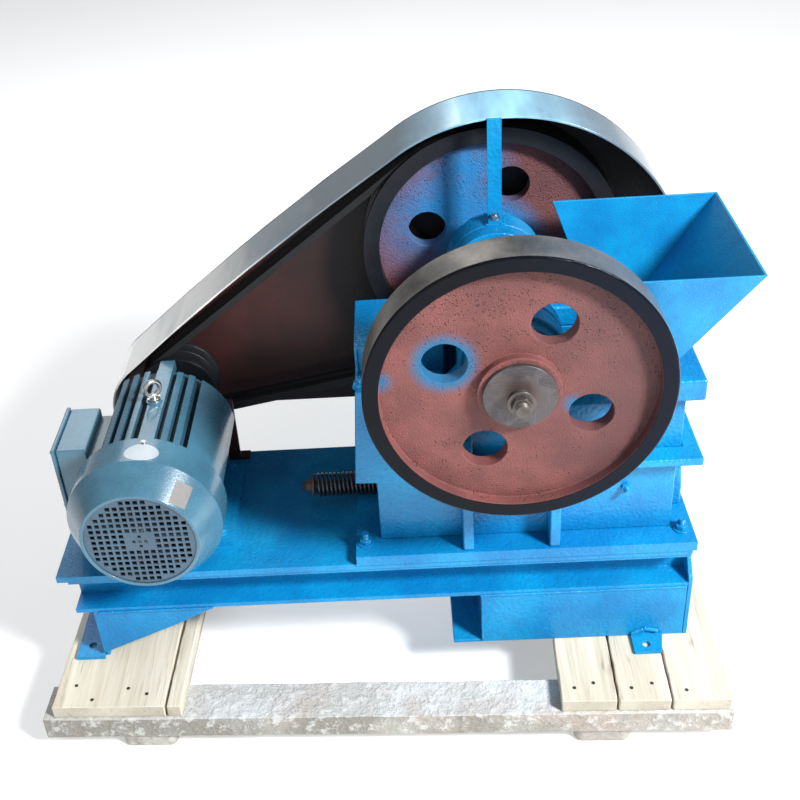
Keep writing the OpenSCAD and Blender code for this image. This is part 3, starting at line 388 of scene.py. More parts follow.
def turned_iron(name, light, dark, far, gloss, rust, shine=0.5):
    """Iron turned on a lathe about Y, with fine lines round it; far is its hue to the right."""
    iron = Finish(name)
    lines = iron.noise(1, 3, 0.6, place=iron.stretched((30, 1400, 30)))
    rings = iron.noise(1, 4, 0.65, place=iron.node(
        "CombineXYZ", None, {0: from_shaft(iron) * 1300}))
    speck = iron.noise(420, 3, 0.7)
    cloud = iron.noise(14, 4, 0.6)
    colour = iron.mix(cloud.over(0.3, 0.7), dark, light)
    colour = iron.mix(iron.axis("X").over(0.13, 0.30) * 0.7, colour, far)
    colour = iron.mix(speck.over(0.55, 0.8) * 0.5, colour, tuple(c * 1.7 for c in light))
    colour = iron.mix(speck.over(0.45, 0.25) * 0.6, colour, tuple(c * 0.4 for c in dark))
    rusty = iron.noise(70, 5, 0.7).over(0.56, 0.72) * rust
    colour = iron.mix(rusty, colour, (0.16, 0.07, 0.04))
    normal = iron.bump(lines + rings, 0.00022, 0.5)
    return iron.wear(base_color=colour, metallic=rusty * -0.25 + 0.25, normal=normal,
                     specular_ior_level=shine,
                     roughness=lines * 0.2 + rusty * 0.4 + (gloss - 0.1))


rim_side = turned_iron("rim_side", (0.002, 0.003, 0.006), (0.001, 0.002, 0.004),
                       (0.001, 0.004, 0.012), 0.30, 0.03, 0.15)
rim_face = turned_iron("rim_face", (0.165, 0.152, 0.135), (0.022, 0.018, 0.014),
                       (0.090, 0.135, 0.190), 0.34, 0.4)
print("turned iron:", rim_side.name, rim_face.name)

# %% [markdown]
# ## Enamel, plastic, rubber and steel
#
# The motor has a blue-grey enamel with a fine orange-peel skin, its fan is plastic, the
# belts are rubber, and the small steel parts run from bright to rusty. They differ only in
# shade, grain, gloss and dirt, so they need no networks of their own. One function makes
# them all: a colour between two, a fine grain, and dirt in soft patches.


# %% Small finishes
def skin(name, light, dark, grain_scale, depth, gloss, metal=0.0, dirt=0.3, clear=0.0):
    """A finish of two shades with a fine grain, and dirt in soft patches."""
    made = Finish(name)
    drift = made.noise(11, 4, 0.6)
    grain = made.noise(grain_scale, 3, 0.65)
    colour = made.mix(drift.over(0.3, 0.7), dark, light)
    colour = made.mix(grain.over(0.5, 0.8) * 0.3, colour, tuple(min(1, c * 1.5) for c in light))
    grime = made.noise(34, 5, 0.7).over(0.52, 0.72) * dirt
    colour = made.mix(grime, colour, tuple(c * 0.35 for c in dark))
    return made.wear(base_color=colour, roughness=grain * 0.16 + grime * 0.2 + (gloss - 0.08),
                     metallic=metal, normal=made.bump(grain, depth, 0.5), coat_weight=clear)


motor_enamel = skin("motor_enamel", (0.056, 0.160, 0.230), (0.036, 0.108, 0.165), 420, 0.0003,
                    0.26, dirt=0.2, clear=0.3)
grille_enamel = skin("grille_enamel", (0.042, 0.092, 0.145), (0.026, 0.058, 0.092), 420,
                     0.0003, 0.32, dirt=0.35, clear=0.15)
# painted shade: a dark, dull colour for the deep gaps between the motor's fins
fin_gap_painted_shade = skin("fin_gap_painted_shade", (0.014, 0.036, 0.050), (0.008, 0.022, 0.032), 420, 0.0003, 0.5)
fan_plastic = skin("fan_plastic", (0.085, 0.082, 0.095), (0.035, 0.033, 0.042), 300, 0.0001,
                   0.4)
belt_rubber = skin("belt_rubber", (0.016, 0.016, 0.018), (0.009, 0.009, 0.010), 700, 0.0002, 0.75)
pulley_iron = skin("pulley_iron", (0.014, 0.015, 0.019), (0.007, 0.008, 0.011), 240, 0.0002,
                   0.38, metal=0.1)
bright_steel = skin("bright_steel", (0.46, 0.46, 0.45), (0.31, 0.31, 0.305), 260, 0.0001, 0.3,
                    metal=0.95)
bolt_grey = skin("bolt_grey", (0.125, 0.112, 0.105), (0.060, 0.050, 0.045), 320, 0.0002, 0.42,
                 metal=0.7, dirt=0.5)
rusty_steel = skin("rusty_steel", (0.12, 0.085, 0.075), (0.06, 0.036, 0.028), 300, 0.0004, 0.75,
                   metal=0.15, dirt=0.5)
spring_steel = skin("spring_steel", (0.10, 0.105, 0.115), (0.05, 0.052, 0.058), 200, 0.0001,
                    0.35, metal=0.8)
jaw_iron = skin("jaw_iron", (0.10, 0.098, 0.095), (0.045, 0.043, 0.042), 180, 0.0006, 0.55,
                metal=0.5, dirt=0.5)
bare_shaft = skin("bare_shaft", (0.34, 0.34, 0.34), (0.22, 0.22, 0.22), 300, 0.0001, 0.3, 0.9)
# painted shade: the near-black colour of the guard's inside stands for the shade within it
guard_inner_painted_shade = skin("guard_inner_painted_shade", (0.012, 0.009, 0.013), (0.006, 0.005, 0.007), 160, 0.0004, 0.5,
                   dirt=0.4)
paper = skin("paper", (0.20, 0.195, 0.19), (0.145, 0.14, 0.136), 300, 0.0001, 0.6, dirt=0.2)
gloss_sticker = skin("gloss_sticker", (0.38, 0.42, 0.45), (0.31, 0.36, 0.40), 300, 0.00005, 0.2,
                     dirt=0.15)
guard_sheet = skin("guard_sheet", (0.20, 0.30, 0.36), (0.14, 0.22, 0.28), 160, 0.0003, 0.3,
                   dirt=0.3, clear=0.4)
print("finishes so far:", len(bpy.data.materials))

# %% [markdown]
# ## Scored end plate
#
# The plate that holds the flywheel on is scored all over, one patch across another. The
# scratches are too fine to cut into the mesh. Large random cells choose a direction for
# each patch, and noise that is stretched one way or the other draws its lines. Rust has
# settled round the bolt.

# %% Scored plate
END_PLATE_Y = -0.209


def scratched_plate(name):
    """A grey plate scored in broad patches, each brushed in its own direction."""
    plate = Finish(name)
    patch = plate.node("TexVoronoi", {"feature": "F1"},
                       {"Vector": plate.place, "Scale": 46}, output="Color")
    shade = plate.axis("X", patch)
    along = plate.noise(1, 3, 0.7, place=plate.stretched((1200, 60, 90)))
    across = plate.noise(1, 3, 0.7, place=plate.stretched((90, 60, 1200)))
    scores = along * shade.over(0.4, 0.6) + across * shade.over(0.6, 0.4)
    colour = plate.mix(shade, (0.034, 0.029, 0.033), (0.088, 0.078, 0.081))
    colour = plate.mix(scores.over(0.5, 0.75) * 0.5, colour, (0.165, 0.155, 0.155))
    rust = plate.noise(60, 5, 0.7).over(0.55, 0.7) * 0.6
    rust = rust + plate.near((SHAFT.x, END_PLATE_Y, SHAFT.z), 0.018, 0.03) * 0.5
    colour = plate.mix(rust, colour, (0.085, 0.055, 0.045))
    return plate.wear(base_color=colour, metallic=shade * 0.3 + 0.2, normal=plate.bump(
        scores, 0.0003, 0.5), roughness=scores * 0.25 + 0.3)


plate_grey = scratched_plate("plate_grey")
print("scored plate:", plate_grey.name)

# %% [markdown]
# ## Gloss and primer of the guard
#
# The guard's band is glossy sheet that mirrors what stands round it: grey near the motor,
# pale blue over the wheels. A bare studio has nothing to mirror, so a ramp of colours along
# the guard carries those tints, streaks break them up, and a clear coat gives the shine.
# Inside, its back plate is only primed, and towards the wheels it is painted near black as shade
# deep inside the guard.
# Two materials would meet in a hard line, so one fades from red to black.


# %% Guard finishes
def guard_gloss(name):
    """Glossy sheet with a painted reflection: grey towards the motor, pale blue over the wheels.
    """
    sheet = Finish(name)
    drift = sheet.noise(5, 4, 0.6, 1.0)
    fine = sheet.noise(160, 3, 0.6)
    reflection_streaks = sheet.noise(1, 3, 0.6, place=sheet.stretched((16, 3, 5)))
    grey, deep, pale, far = ((0.76, 0.75, 0.72), (0.13, 0.165, 0.19), (0.33, 0.68, 0.92),
                             (0.15, 0.20, 0.25))
    # painted reflection: a ramp along X and its streaks give the tints that the glossy sheet
    # would mirror
    along = sheet.axis("X") * 1.2 + drift * 0.12 + 0.44
    colour = sheet.node("ValToRGB", {"stops": [
        (0.22, grey), (0.42, deep), (0.56, deep), (0.70, pale), (0.77, pale), (0.88, far)]},
        {0: along})
    colour = sheet.mix(reflection_streaks.over(0.62, 0.35) * 0.5, colour, (0.07, 0.16, 0.22))
    colour = sheet.mix(sheet.noise(40, 5, 0.7).over(0.6, 0.72) * 0.3, colour, (0.12, 0.11, 0.10))
    return sheet.wear(base_color=colour, roughness=fine * 0.06 + reflection_streaks * 0.14 + 0.12,
                      normal=sheet.bump(fine * 0.08 + drift, 0.0006, 0.4), metallic=0.1,
                      coat_weight=0.6, coat_roughness=0.1)


def primer_with_painted_shade(name):
    """Red primer inside the guard, painted near black towards the wheels as shade."""
    primer = Finish(name)
    drift = primer.noise(9, 4, 0.6)
    grain = primer.noise(240, 3, 0.65)
    # painted shade: the primer fades to near black towards +X, deep inside the guard
    share = (primer.axis("X") + drift * 0.12).over(-0.12, 0.08)
    red = primer.mix(drift.over(0.3, 0.7), (0.020, 0.006, 0.005), (0.052, 0.014, 0.011))
    colour = primer.mix(share, red, (0.004, 0.002, 0.003))
    colour = primer.mix(grain.over(0.55, 0.8) * 0.2, colour, (0.06, 0.02, 0.018))
    return primer.wear(base_color=colour, roughness=grain * 0.2 + 0.45,
                       normal=primer.bump(grain, 0.0005, 0.5))


guard_red = primer_with_painted_shade("guard_red")
guard_outer = guard_gloss("guard_outer")
print("guard finishes:", guard_red.name, guard_outer.name)

# %% [markdown]
# ## Wood
#
# Softwood shows its grain as long streaks along the board, because each ring of the tree is
# cut lengthwise. A scanned picture would repeat from board to board. Noise that is stretched
# along the board never does, and knots, cracks and stains are laid over it in the same way,
# each stretched by its own amount.

# %% Wood finishes
STREAK = 0.045


def wood(name, light, dark, grey):
    """Sawn softwood with its grain along Y; grey, from 0 to 1, is how weathered it is."""
    board = Finish(name)
    place = board.stretched((1, STREAK, 1))
    wander = board.noise(55, 4, 0.6, 1.2, place=place)
    rings = board.noise(210, 3, 0.6, 0.6, place=place)
    fibre = board.noise(900, 2, 0.7, place=place)
    tone = board.noise(4.5, 3, 0.5, place=board.stretched((1, STREAK ** 0.3, 1)))
    colour = board.mix(wander.over(0.25, 0.75), dark, light)
    colour = board.mix(rings.over(0.54, 0.70) * 0.55, colour, tuple(c * 0.55 for c in dark))
    colour = board.mix(tone.over(0.45, 0.75) * 0.5, colour, tuple(c * 0.8 for c in dark))
    colour = board.mix(fibre.over(0.5, 0.8) * 0.25, colour, light)
    stain = board.noise(26, 5, 0.7, place=place).over(0.58, 0.74) * (0.35 + grey * 0.4)
    colour = board.mix(stain, colour, (0.14, 0.12, 0.10))
    cracks = board.cells(38, board.stretched((1, STREAK * 0.4, 1)), "DISTANCE_TO_EDGE")
    cracks = cracks.over(0.022, 0.006)
    cracks = cracks * board.noise(9, 2).over(0.60, 0.70)
    colour = board.mix(cracks * 0.8, colour, (0.10, 0.07, 0.05))
    knots = board.cells(5, board.stretched((1, STREAK * 15, 1)))
    knot = knots.over(0.035, 0.022)
    halo = knots.over(0.065, 0.035)
    colour = board.mix(halo * 0.35, colour, tuple(c * 0.55 for c in dark))
    colour = board.mix(knot * 0.85, colour, (0.16, 0.09, 0.05))
    height = fibre * 0.5 + rings * 0.6 + wander * 0.4 - cracks * 2.0 - knot * 0.5
    return board.wear(base_color=colour, roughness=fibre * 0.2 + 0.68,
                      normal=board.bump(height, 0.0006 + grey * 0.0005, 0.6))


raw_board = wood("raw_board", (0.72, 0.675, 0.56), (0.54, 0.475, 0.36), 0.15)
grey_bearer = wood("grey_bearer", (0.45, 0.44, 0.40), (0.30, 0.28, 0.25), 1.0)
end_grain = skin("end_grain", (0.50, 0.47, 0.39), (0.34, 0.31, 0.25), 420, 0.0012, 0.85, dirt=0.5)
nail_iron = skin("nail_iron", (0.07, 0.05, 0.045), (0.03, 0.022, 0.02), 500, 0.0002, 0.7,
                 metal=0.3)
print("wood:", raw_board.name, grey_bearer.name, end_grain.name)

# %% [markdown]
# ## Cement on the runners
#
# The front and back runners are splashed with cement slurry that has dried to a thin film.
# It is far thinner than anything worth modelling, so it is one more finish: patches of two
# greys, grains of sand, and a crust that the bump lifts off the wood.


# %% Cement finishes
def cement_splashed(name, light, dark):
    """Grey wood under a film of dried cement slurry, with gravel specks stuck in it."""
    film = Finish(name)
    patch = film.noise(7, 4, 0.6).over(0.42, 0.62)
    warm = film.noise(5, 3, 0.6, 0.5).over(0.5, 0.66)
    speck = film.noise(260, 3, 0.7)
    crust = film.noise(60, 5, 0.7)
    colour = film.mix(patch, dark, light)
    colour = film.mix(warm * 0.5, colour, (0.40, 0.31, 0.26))
    colour = film.mix(speck.over(0.55, 0.75) * 0.6, colour, (0.11, 0.10, 0.09))
    colour = film.mix(crust.over(0.50, 0.64) * 0.5, colour, (0.66, 0.68, 0.67))
    colour = film.mix(crust.over(0.40, 0.32) * 0.25, colour, (0.24, 0.22, 0.20))
    return film.wear(base_color=colour, roughness=speck * 0.1 + 0.8,
                     normal=film.bump(speck * 0.5 + crust.over(0.35, 0.65), 0.0022, 0.7))


runner_top = cement_splashed("runner_top", (0.60, 0.635, 0.635), (0.47, 0.465, 0.44))
runner_side = cement_splashed("runner_side", (0.36, 0.36, 0.33), (0.24, 0.23, 0.20))
print("finishes:", len(bpy.data.materials))

# %% [markdown]
# ## Working on one piece
#
# Every operator acts on all that is selected, so a stray selection would change the wrong
# piece. Small helpers select one piece alone, open and close edit mode, and apply one
# modifier, as a hand on the mouse would.


# %% Selecting and editing
def work_on(piece):
    """Selects one piece and nothing else."""
    bpy.ops.object.select_all(action="DESELECT")
    piece.select_set(True)
    bpy.context.view_layer.objects.active = piece


def editing(piece):
    """Opens a piece in edit mode with all of it selected."""
    work_on(piece)
    bpy.ops.object.mode_set(mode="EDIT")
    bpy.ops.mesh.select_all(action="SELECT")


def leave():
    """Goes back to object mode."""
    bpy.ops.object.mode_set(mode="OBJECT")


def apply_modifier(piece, kind, **settings):
    """Adds a modifier with its settings and applies it at once."""
    work_on(piece)
    modifier = piece.modifiers.new(kind.lower(), kind)
    for name, value in settings.items():
        setattr(modifier, name, value)
    bpy.ops.object.modifier_apply(modifier=modifier.name)


print("selected now:", len(bpy.context.selected_objects), "objects")

# %% [markdown]
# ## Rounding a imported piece
#
# Real plate and castings have no knife edges, and it is the rounded edge that catches the
# light. A piece could be modelled again from a cube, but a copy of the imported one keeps
# each hole where it belongs. That copy is loose triangles, so it is joined up first, its
# flat faces are merged, and a Bevel modifier then rounds every edge that is sharp enough.

# %% Rounded copies
MERGE_WITHIN = 0.02 * MM


def copy_of(node, name):
    """A new piece with the shape of a packed one, joined up and with whole faces."""
    mesh = nodes[node].data.copy()
    mesh.name = name
    mesh.materials.clear()
    piece = bpy.data.objects.new(name, mesh)
    bpy.context.scene.collection.objects.link(piece)
    editing(piece)
    bpy.ops.mesh.remove_doubles(threshold=MERGE_WITHIN)
    bpy.ops.mesh.customdata_custom_splitnormals_clear()
    bpy.ops.mesh.dissolve_limited(angle_limit=math.radians(1))
    leave()
    return piece


def soften(piece, width, segments=2, angle=32):
    """Rounds the sharp edges by width metres and shades the rest smooth."""
    work_on(piece)
    bpy.ops.object.shade_smooth_by_angle(angle=math.radians(35))
    apply_modifier(piece, "BEVEL", width=width, segments=segments, limit_method="ANGLE",
                   angle_limit=math.radians(angle), harden_normals=True,
                   use_clamp_overlap=True)


print("corners nearer than", MERGE_WITHIN, "m are merged")

# %% [markdown]
# ## Dressing a piece
#
# A piece of the model is more than its shape: it turns with one body, it is made of one
# stuff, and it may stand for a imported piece. These could be set piece by piece, but then one
# is soon forgotten, so a single call says them all. A casting with two finishes is one piece
# whose faces are sorted by where they lie and which way they look.


# %% Dressing
def dress(piece, body, slot, *finishes, stands_for=()):
    """Gives a piece its finishes, the body it moves with, and what it replaces."""
    for finish in finishes:
        piece.data.materials.append(finish)
    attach(piece, body)
    if stands_for:
        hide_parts(*stands_for)


def finish_faces(piece, index, chosen):
    """Gives another finish to the faces whose corners and normal are chosen."""
    points = piece.data.vertices
    for face in piece.data.polygons:
        if chosen([points[corner].co for corner in face.vertices], face.normal):
            face.material_index = index


def rounded(node, slot, width, *finishes, body="machine"):
    """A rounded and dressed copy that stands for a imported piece."""
    piece = copy_of(node, node + "_rounded")
    soften(piece, width)
    dress(piece, body, slot, *finishes, stands_for=(node,))
    return piece


print("pieces to dress:", len(nodes))

# %% [markdown]
# ## Primitives and their copies
#
# Small parts start as a primitive on the origin, where sizes are easy to read. A finished
# piece also has its object there, unturned, so it is the mesh that is turned and moved to
# its place. Each copy gets a mesh of its own.


# %% Primitives and copies
def shaped(name, kind, **where):
    """Adds a primitive and opens it in edit mode with all of it selected."""
    bpy.ops.object.select_all(action="DESELECT")
    getattr(bpy.ops.mesh, f"primitive_{kind}_add")(**where)
    piece = bpy.context.object
    piece.name = piece.data.name = name
    bpy.ops.object.mode_set(mode="EDIT")
    return piece


def set_at(model, name, place, turn=Matrix.Identity(4)):
    """A copy of a model with its own mesh, turned and then moved to its place."""
    mesh = model.data.copy()
    mesh.transform(Matrix.Translation(place) @ turn)
    piece = bpy.data.objects.new(name, mesh)
    bpy.context.scene.collection.objects.link(piece)
    return piece


def moved(model, name, place, turn=Matrix.Identity(4)):
    """As set_at, but the model itself goes."""
    piece = set_at(model, name, place, turn)
    bpy.data.objects.remove(model)
    return piece


def joined(name, pieces):
    """Several pieces as one, under a new name."""
    bpy.ops.object.select_all(action="DESELECT")
    for piece in pieces:
        piece.select_set(True)
    bpy.context.view_layer.objects.active = pieces[0]
    if len(pieces) > 1:
        bpy.ops.object.join()
    pieces[0].name = pieces[0].data.name = name
    return pieces[0]


# %% [markdown]
# ## Threads and stacks
#
# Nuts, washers, bolt ends and screws are stacks of short round, six-sided and threaded
# layers. A screw thread is one long helix, which costs many faces. At this size rings look
# the same, so a thread is a disc that is extruded again and again, a little narrower and
# then wider each time.

# %% Threads and stacks
THREAD_ROOT, THREAD_PITCH = 0.87, 1.6 * MM


def threaded(name, radius, length, level):
    """A threaded rod along Z that starts at level, all in metres."""
    rod = shaped(name, "circle", vertices=20, radius=radius, fill_type="NGON")
    bpy.ops.transform.translate(value=(0, 0, level))
    for _ in range(max(1, round(length / THREAD_PITCH))):
        for scale in (THREAD_ROOT, 1 / THREAD_ROOT):
            rise = {"value": (0, 0, THREAD_PITCH / 2)}
            bpy.ops.mesh.extrude_region_move(TRANSFORM_OT_translate=rise)
            bpy.ops.transform.resize(value=(scale, scale, 1), center_override=(0, 0, level))
    bpy.ops.mesh.select_all(action="SELECT")
    bpy.ops.mesh.normals_make_consistent(inside=False)
    leave()
    work_on(rod)
    bpy.ops.object.shade_smooth_by_angle(angle=math.radians(50))
    return rod


def stacked(name, *layers):
    """A stack along Z of round, hex and thread layers, each (kind, radius, height) in mm."""
    level, made = 0.0, []
    for kind, radius, height in layers:
        radius, height = radius * MM, height * MM
        if kind == "thread":
            made.append(threaded(name, radius, height, level))
        else:
            piece = shaped(name, "cylinder", vertices=6 if kind == "hex" else 32,
                           radius=radius, depth=height)
            bpy.ops.transform.translate(value=(0, 0, level + height / 2))
            leave()
            soften(piece, min(0.09 * radius, 0.3 * height))
            made.append(piece)
        level += height
    return joined(name, made)


print("a thread's root is", THREAD_ROOT, "of its radius, its pitch", THREAD_PITCH, "m")

# %% [markdown]
# ## Hardware set in place
#
# A stack is modelled once and copied wherever it is needed. Nobody lines up the corners of
# two nuts, so every copy is turned by a random angle about its own axis. The random numbers
# start from a fixed seed, so that each run turns them alike.


# %% Strewn copies
def strew(model, name, places, slot, *finishes, turn=Matrix.Identity(4), body="machine",
          stands_for=()):
    """Sets copies of a model at places in mm, each turned differently about itself."""
    for number, place in enumerate(places, 1):
        spin = Matrix.Rotation(random.uniform(0, math.pi), 4, "Z")
        piece = set_at(model, f"{name}_{number}", Vector(place) * MM, turn @ spin)
        dress(piece, body, slot, *finishes, stands_for=stands_for)
    bpy.data.objects.remove(model)


random.seed(7)
print("random angles start from seed 7")

# %% [markdown]
# ## Frame pieces
#
# The frame is welded up from plate and channel, and the crusher's body stands on it as one
# heavy casting. The same rounding everywhere would make it look like moulded plastic, so
# each piece has its own, to suit how it was made: one or two millimetres on thin plate, and
# two to four on castings and heavy plate. The table gives them in millimetres.

# %% Frame pieces
blue_pieces = {
    "base_plate": 3, "base_front_channel": 4, "base_back_channel": 4, "left_leg": 1.5,
    "left_gussets": 1, "support_box": 2, "support_end_plate": 1, "anchor_lugs": 1,
    "crusher_foot": 4, "front_wall": 3, "back_wall": 3, "end_wall": 3, "rear_wall": 3,
    "front_ribs": 3, "back_ribs": 3, "end_ribs": 3, "middle_shelf": 3, "top_flange": 4,
    "rear_cover": 2, "front_bearing": 4, "back_bearing": 4, "toggle_seat": 2,
    "spring_seat": 2, "swing_jaw": 3, "guard_strut": 1}
for node, width in blue_pieces.items():
    rounded(node, "blue_paint", width * MM, frame_blue)
rounded("hopper", "blue_paint", 1 * MM, sheet_blue)
print("frame pieces rounded:", len(blue_pieces) + 1)

# %% [markdown]
# ## Welds
#
# Plate is joined by arc welding, which leaves a bead of small overlapping scales in the
# corner. A smooth rod would look like sealant, and scales laid by hand would take long, so a
# bead is one small sphere, repeated by an Array modifier and made uneven by a Displace
# modifier. The paint covers the welds, so they get a glossier sort of the frame's blue.

# %% Weld bead
ripples = bpy.data.textures.new("ripples", "CLOUDS")
ripples.noise_scale = 0.006


def weld(name, start, end, radius):
    """A run of overlapping beads between two points, in mm; returns the undressed piece."""
    start, run = Vector(start) * MM, (Vector(end) - Vector(start)) * MM
    step = radius * 0.85 * MM
    bead = shaped(name, "uv_sphere", segments=8, ring_count=6, radius=radius * MM)
    leave()
    apply_modifier(bead, "ARRAY", count=max(1, int(run.length / step)),
                   use_relative_offset=False, use_constant_offset=True,
                   constant_offset_displace=(step, 0, 0))
    apply_modifier(bead, "DISPLACE", texture=ripples, strength=radius * 0.5 * MM,
                   texture_coords="LOCAL")
    work_on(bead)
    bpy.ops.object.shade_smooth()
    return moved(bead, name, start, run.to_track_quat("X", "Z").to_matrix().to_4x4())


print("ripples on a bead:", ripples.noise_scale, "m")

# %% [markdown]
# ## Where the welds run
#
# Each run follows a corner where two plates meet, from a start to an end in millimetres. The
# small anchor lugs are welded on with a thicker bead, because the whole machine pulls at
# them when it is bolted down.

# %% Weld runs
BEAD_R, LUG_BEAD_R = 1.9, 3.4
weld_runs = {
    "leg_front": [(-409, -124, 93), (-409, -124, 180)],
    "leg_back": [(-409, 124, 93), (-409, 124, 180)],
    "gusset_front": [(-404, -129, 180.5), (-240, -129, 180.5)],
    "gusset_back": [(-404, 129, 180.5), (-240, 129, 180.5)],
    "box_front": [(140, -128.5, 180.5), (428, -128.5, 180.5)],
    "box_back": [(140, 128.5, 180.5), (428, 128.5, 180.5)],
    "box_side": [(141.5, -128.5, 92), (141.5, -128.5, 180)],
    "foot_front": [(-28, -129, 254.5), (428, -129, 254.5)],
    "foot_back": [(-28, 129, 254.5), (428, 129, 254.5)],
    "hopper_front_foot": [(318, -97, 527), (376, -97, 527)],
    "lug_front": [(357, -129, 93), (374, -129, 101)],
    "lug_front_right": [(374, -129, 101), (396, -129, 95)],
    "lug_back": [(357, 129, 93), (374, 129, 101)],
    "lug_back_right": [(374, 129, 101), (396, 129, 95)],
}
weld_blue = blue_paint("weld_blue", 0.003, 0.0006, 0.2, 0.02)
for name, (start, end) in weld_runs.items():
    bead_radius = LUG_BEAD_R if "lug" in name else BEAD_R
    dress(weld("weld_" + name, start, end, bead_radius), "machine", "blue_paint", weld_blue)
print("weld runs:", len(weld_runs))

# %% [markdown]
# ## Bolts in the frame
#
# Four studs hold the crusher's foot to the base, and four bolts hold the motor. Each has a
# washer, a nut, and a threaded end standing out of it, and they were painted with the frame.
# They could be set one call at a time, but the calls would be nearly alike. A table gives
# each kind its layers, as (shape, radius, height), the places it stands at, and what it
# stands for, all lengths in millimetres.

# %% Bolts in the frame
STUD_Z, NUT_BELOW_Z = 270, 229
MOTOR_STUD_Z, MOTOR_NUT_BELOW_Z = 268, 239
foot_holes = [(x, y) for x in (-17, 417) for y in (-106, 106)]
motor_holes = [(x, y) for x in (-385, -225) for y in (-68, 72)]
upright_bolts = {
    "foot_stud": ([("round", 11.5, 2), ("hex", 9, 7), ("thread", 5, 9)],
                  [(x, y, STUD_Z) for x, y in foot_holes], ("foot_bolts",)),
    "foot_nut_below": ([("hex", 14, 8)], [(x, y, NUT_BELOW_Z) for x, y in foot_holes], ()),
    "motor_foot_nut": ([("round", 10.5, 1.6), ("hex", 8.75, 5), ("thread", 4.8, 3.4)],
                       [(x, y, MOTOR_STUD_Z) for x, y in motor_holes], ("motor_foot_bolts",)),
    "motor_nut_below": ([("hex", 8.75, 5)],
                        [(x, y, MOTOR_NUT_BELOW_Z) for x, y in motor_holes], ()),
    "ledge_nut": ([("round", 9, 1.5), ("hex", 8, 6), ("thread", 4.5, 6)],
                  [(-9.4, -88, 522), (-9.4, 88, 522)], ()),
}
for name, (layers, places, stands_for) in upright_bolts.items():
    strew(stacked(name, *layers), name, places, "bolt_steel", frame_blue,
          stands_for=stands_for)
forward_turn = Matrix.Rotation(math.radians(90), 4, "X")
strew(stacked("wall_stud", ("hex", 7, 5), ("thread", 4, 9)), "wall_stud",
      [(338, -100, 345)], "bolt_steel", frame_blue, turn=forward_turn)
strew(stacked("strut_bolt", ("round", 7.5, 1.2), ("hex", 6.5, 4.5), ("round", 3.4, 1.4)),
      "strut_bolt", [(182.5, 106, 653.2)], "bolt_steel", bright_steel)
print("kinds of upright bolt:", len(upright_bolts))

# %% [markdown]
# ## Pallet
#
# The pallet is sawn softwood: two bearers on the floor, two grey runners on them, and pale
# boards nailed across. Their edges are worn and chewed. Sculpting gives that best, but only
# by hand. Here a board is cut across many times, and each corner along its edges moves in
# by a random amount, squared, so that most move little and a few move far.

# %% Worn boards
WORN_ROUND = 1.8 * MM


def chewed(node, slot, along, cuts, wear, *finishes):
    """A copy of some boards with long edges worn by up to wear mm; along is their axis."""
    piece = copy_of(node, node + "_chewed")
    low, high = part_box(node)
    for cut in range(1, cuts):
        plane = Vector((0, 0, 0))
        plane[along] = low[along] + (high[along] - low[along]) * cut / cuts
        editing(piece)
        bpy.ops.mesh.bisect(plane_co=plane, plane_no=Vector((1 - along, along, 0)))
        leave()
    for corner in piece.data.vertices:
        side = corner.normal[1 - along]
        depth = random.uniform(0, 1) ** 2 * wear * MM
        corner.co[1 - along] -= math.copysign(depth, side) if abs(side) > 0.3 else 0
    soften(piece, WORN_ROUND)
    dress(piece, "machine", slot, *finishes, stands_for=(node,))


print("rounding of worn wood:", WORN_ROUND, "m")

# %% [markdown]
# ## Boards, bearers and nails
#
# The runners have a thicker crust on top than on their sides, and the boards' sawn ends are
# darker than the rest. Both get two finishes, sorted by the way a face looks. A nail's head
# is one flat disc. Those at the back are the front ones turned half round, as far as there
# is a board under them.

# %% Pallet pieces
NAIL_Z, BACK_BOARDS_END = 85.8, 402
for node in ("pallet_left_bearer", "pallet_right_bearer"):
    rounded(node, "raw_wood", 4 * MM, grey_bearer)
for node in ("pallet_front_runner", "pallet_back_runner"):
    chewed(node, "weathered_wood", 0, 26, 1.6, runner_side, runner_top)
    finish_faces(bpy.data.objects[node + "_chewed"], 1,
                 lambda corners, normal: normal.z > 0.6)
for node in ("pallet_left_boards", "pallet_right_boards"):
    chewed(node, "raw_wood", 1, 34, 1.1, raw_board, end_grain)
    finish_faces(bpy.data.objects[node + "_chewed"], 1,
                 lambda corners, normal: abs(normal.y) > 0.8)
nail_places = [(-445.5, -177), (-417.3, -203.2), (-368.7, -185.7), (-340.3, -196.6),
               (260.4, -216.7), (287.6, -209.6), (338.3, -220.6), (367.5, -214.2),
               (412, -227.9)]
strew(stacked("nail", ("round", 2.6, 0.7)), "nail",
      [(x * side, y * side, NAIL_Z) for side in (1, -1) for x, y in nail_places
       if side > 0 or -x < BACK_BOARDS_END], "raw_wood", nail_iron)
print("nail places at the front:", len(nail_places))

# %% [markdown]
# ## Wheels
#
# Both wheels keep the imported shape. A web and a rim made apart would show a seam, so their
# faces are sorted by their distance from the shaft instead: the web keeps its primer, the
# rim's sides are dark with oil, the flywheel's edge is bare turned iron, and the pulley's
# grooves are dark from the belts.

# %% Wheels
WHEEL_R, RIM_INNER_R = 0.184, 0.17
FLY_RECESS_R, PULLEY_RECESS_R = 0.1635, 0.1605


def least_radius(corners):
    """How near to the shaft's line the nearest corner is, in metres."""
    return min(math.hypot(corner.x - SHAFT.x, corner.z - SHAFT.z) for corner in corners)


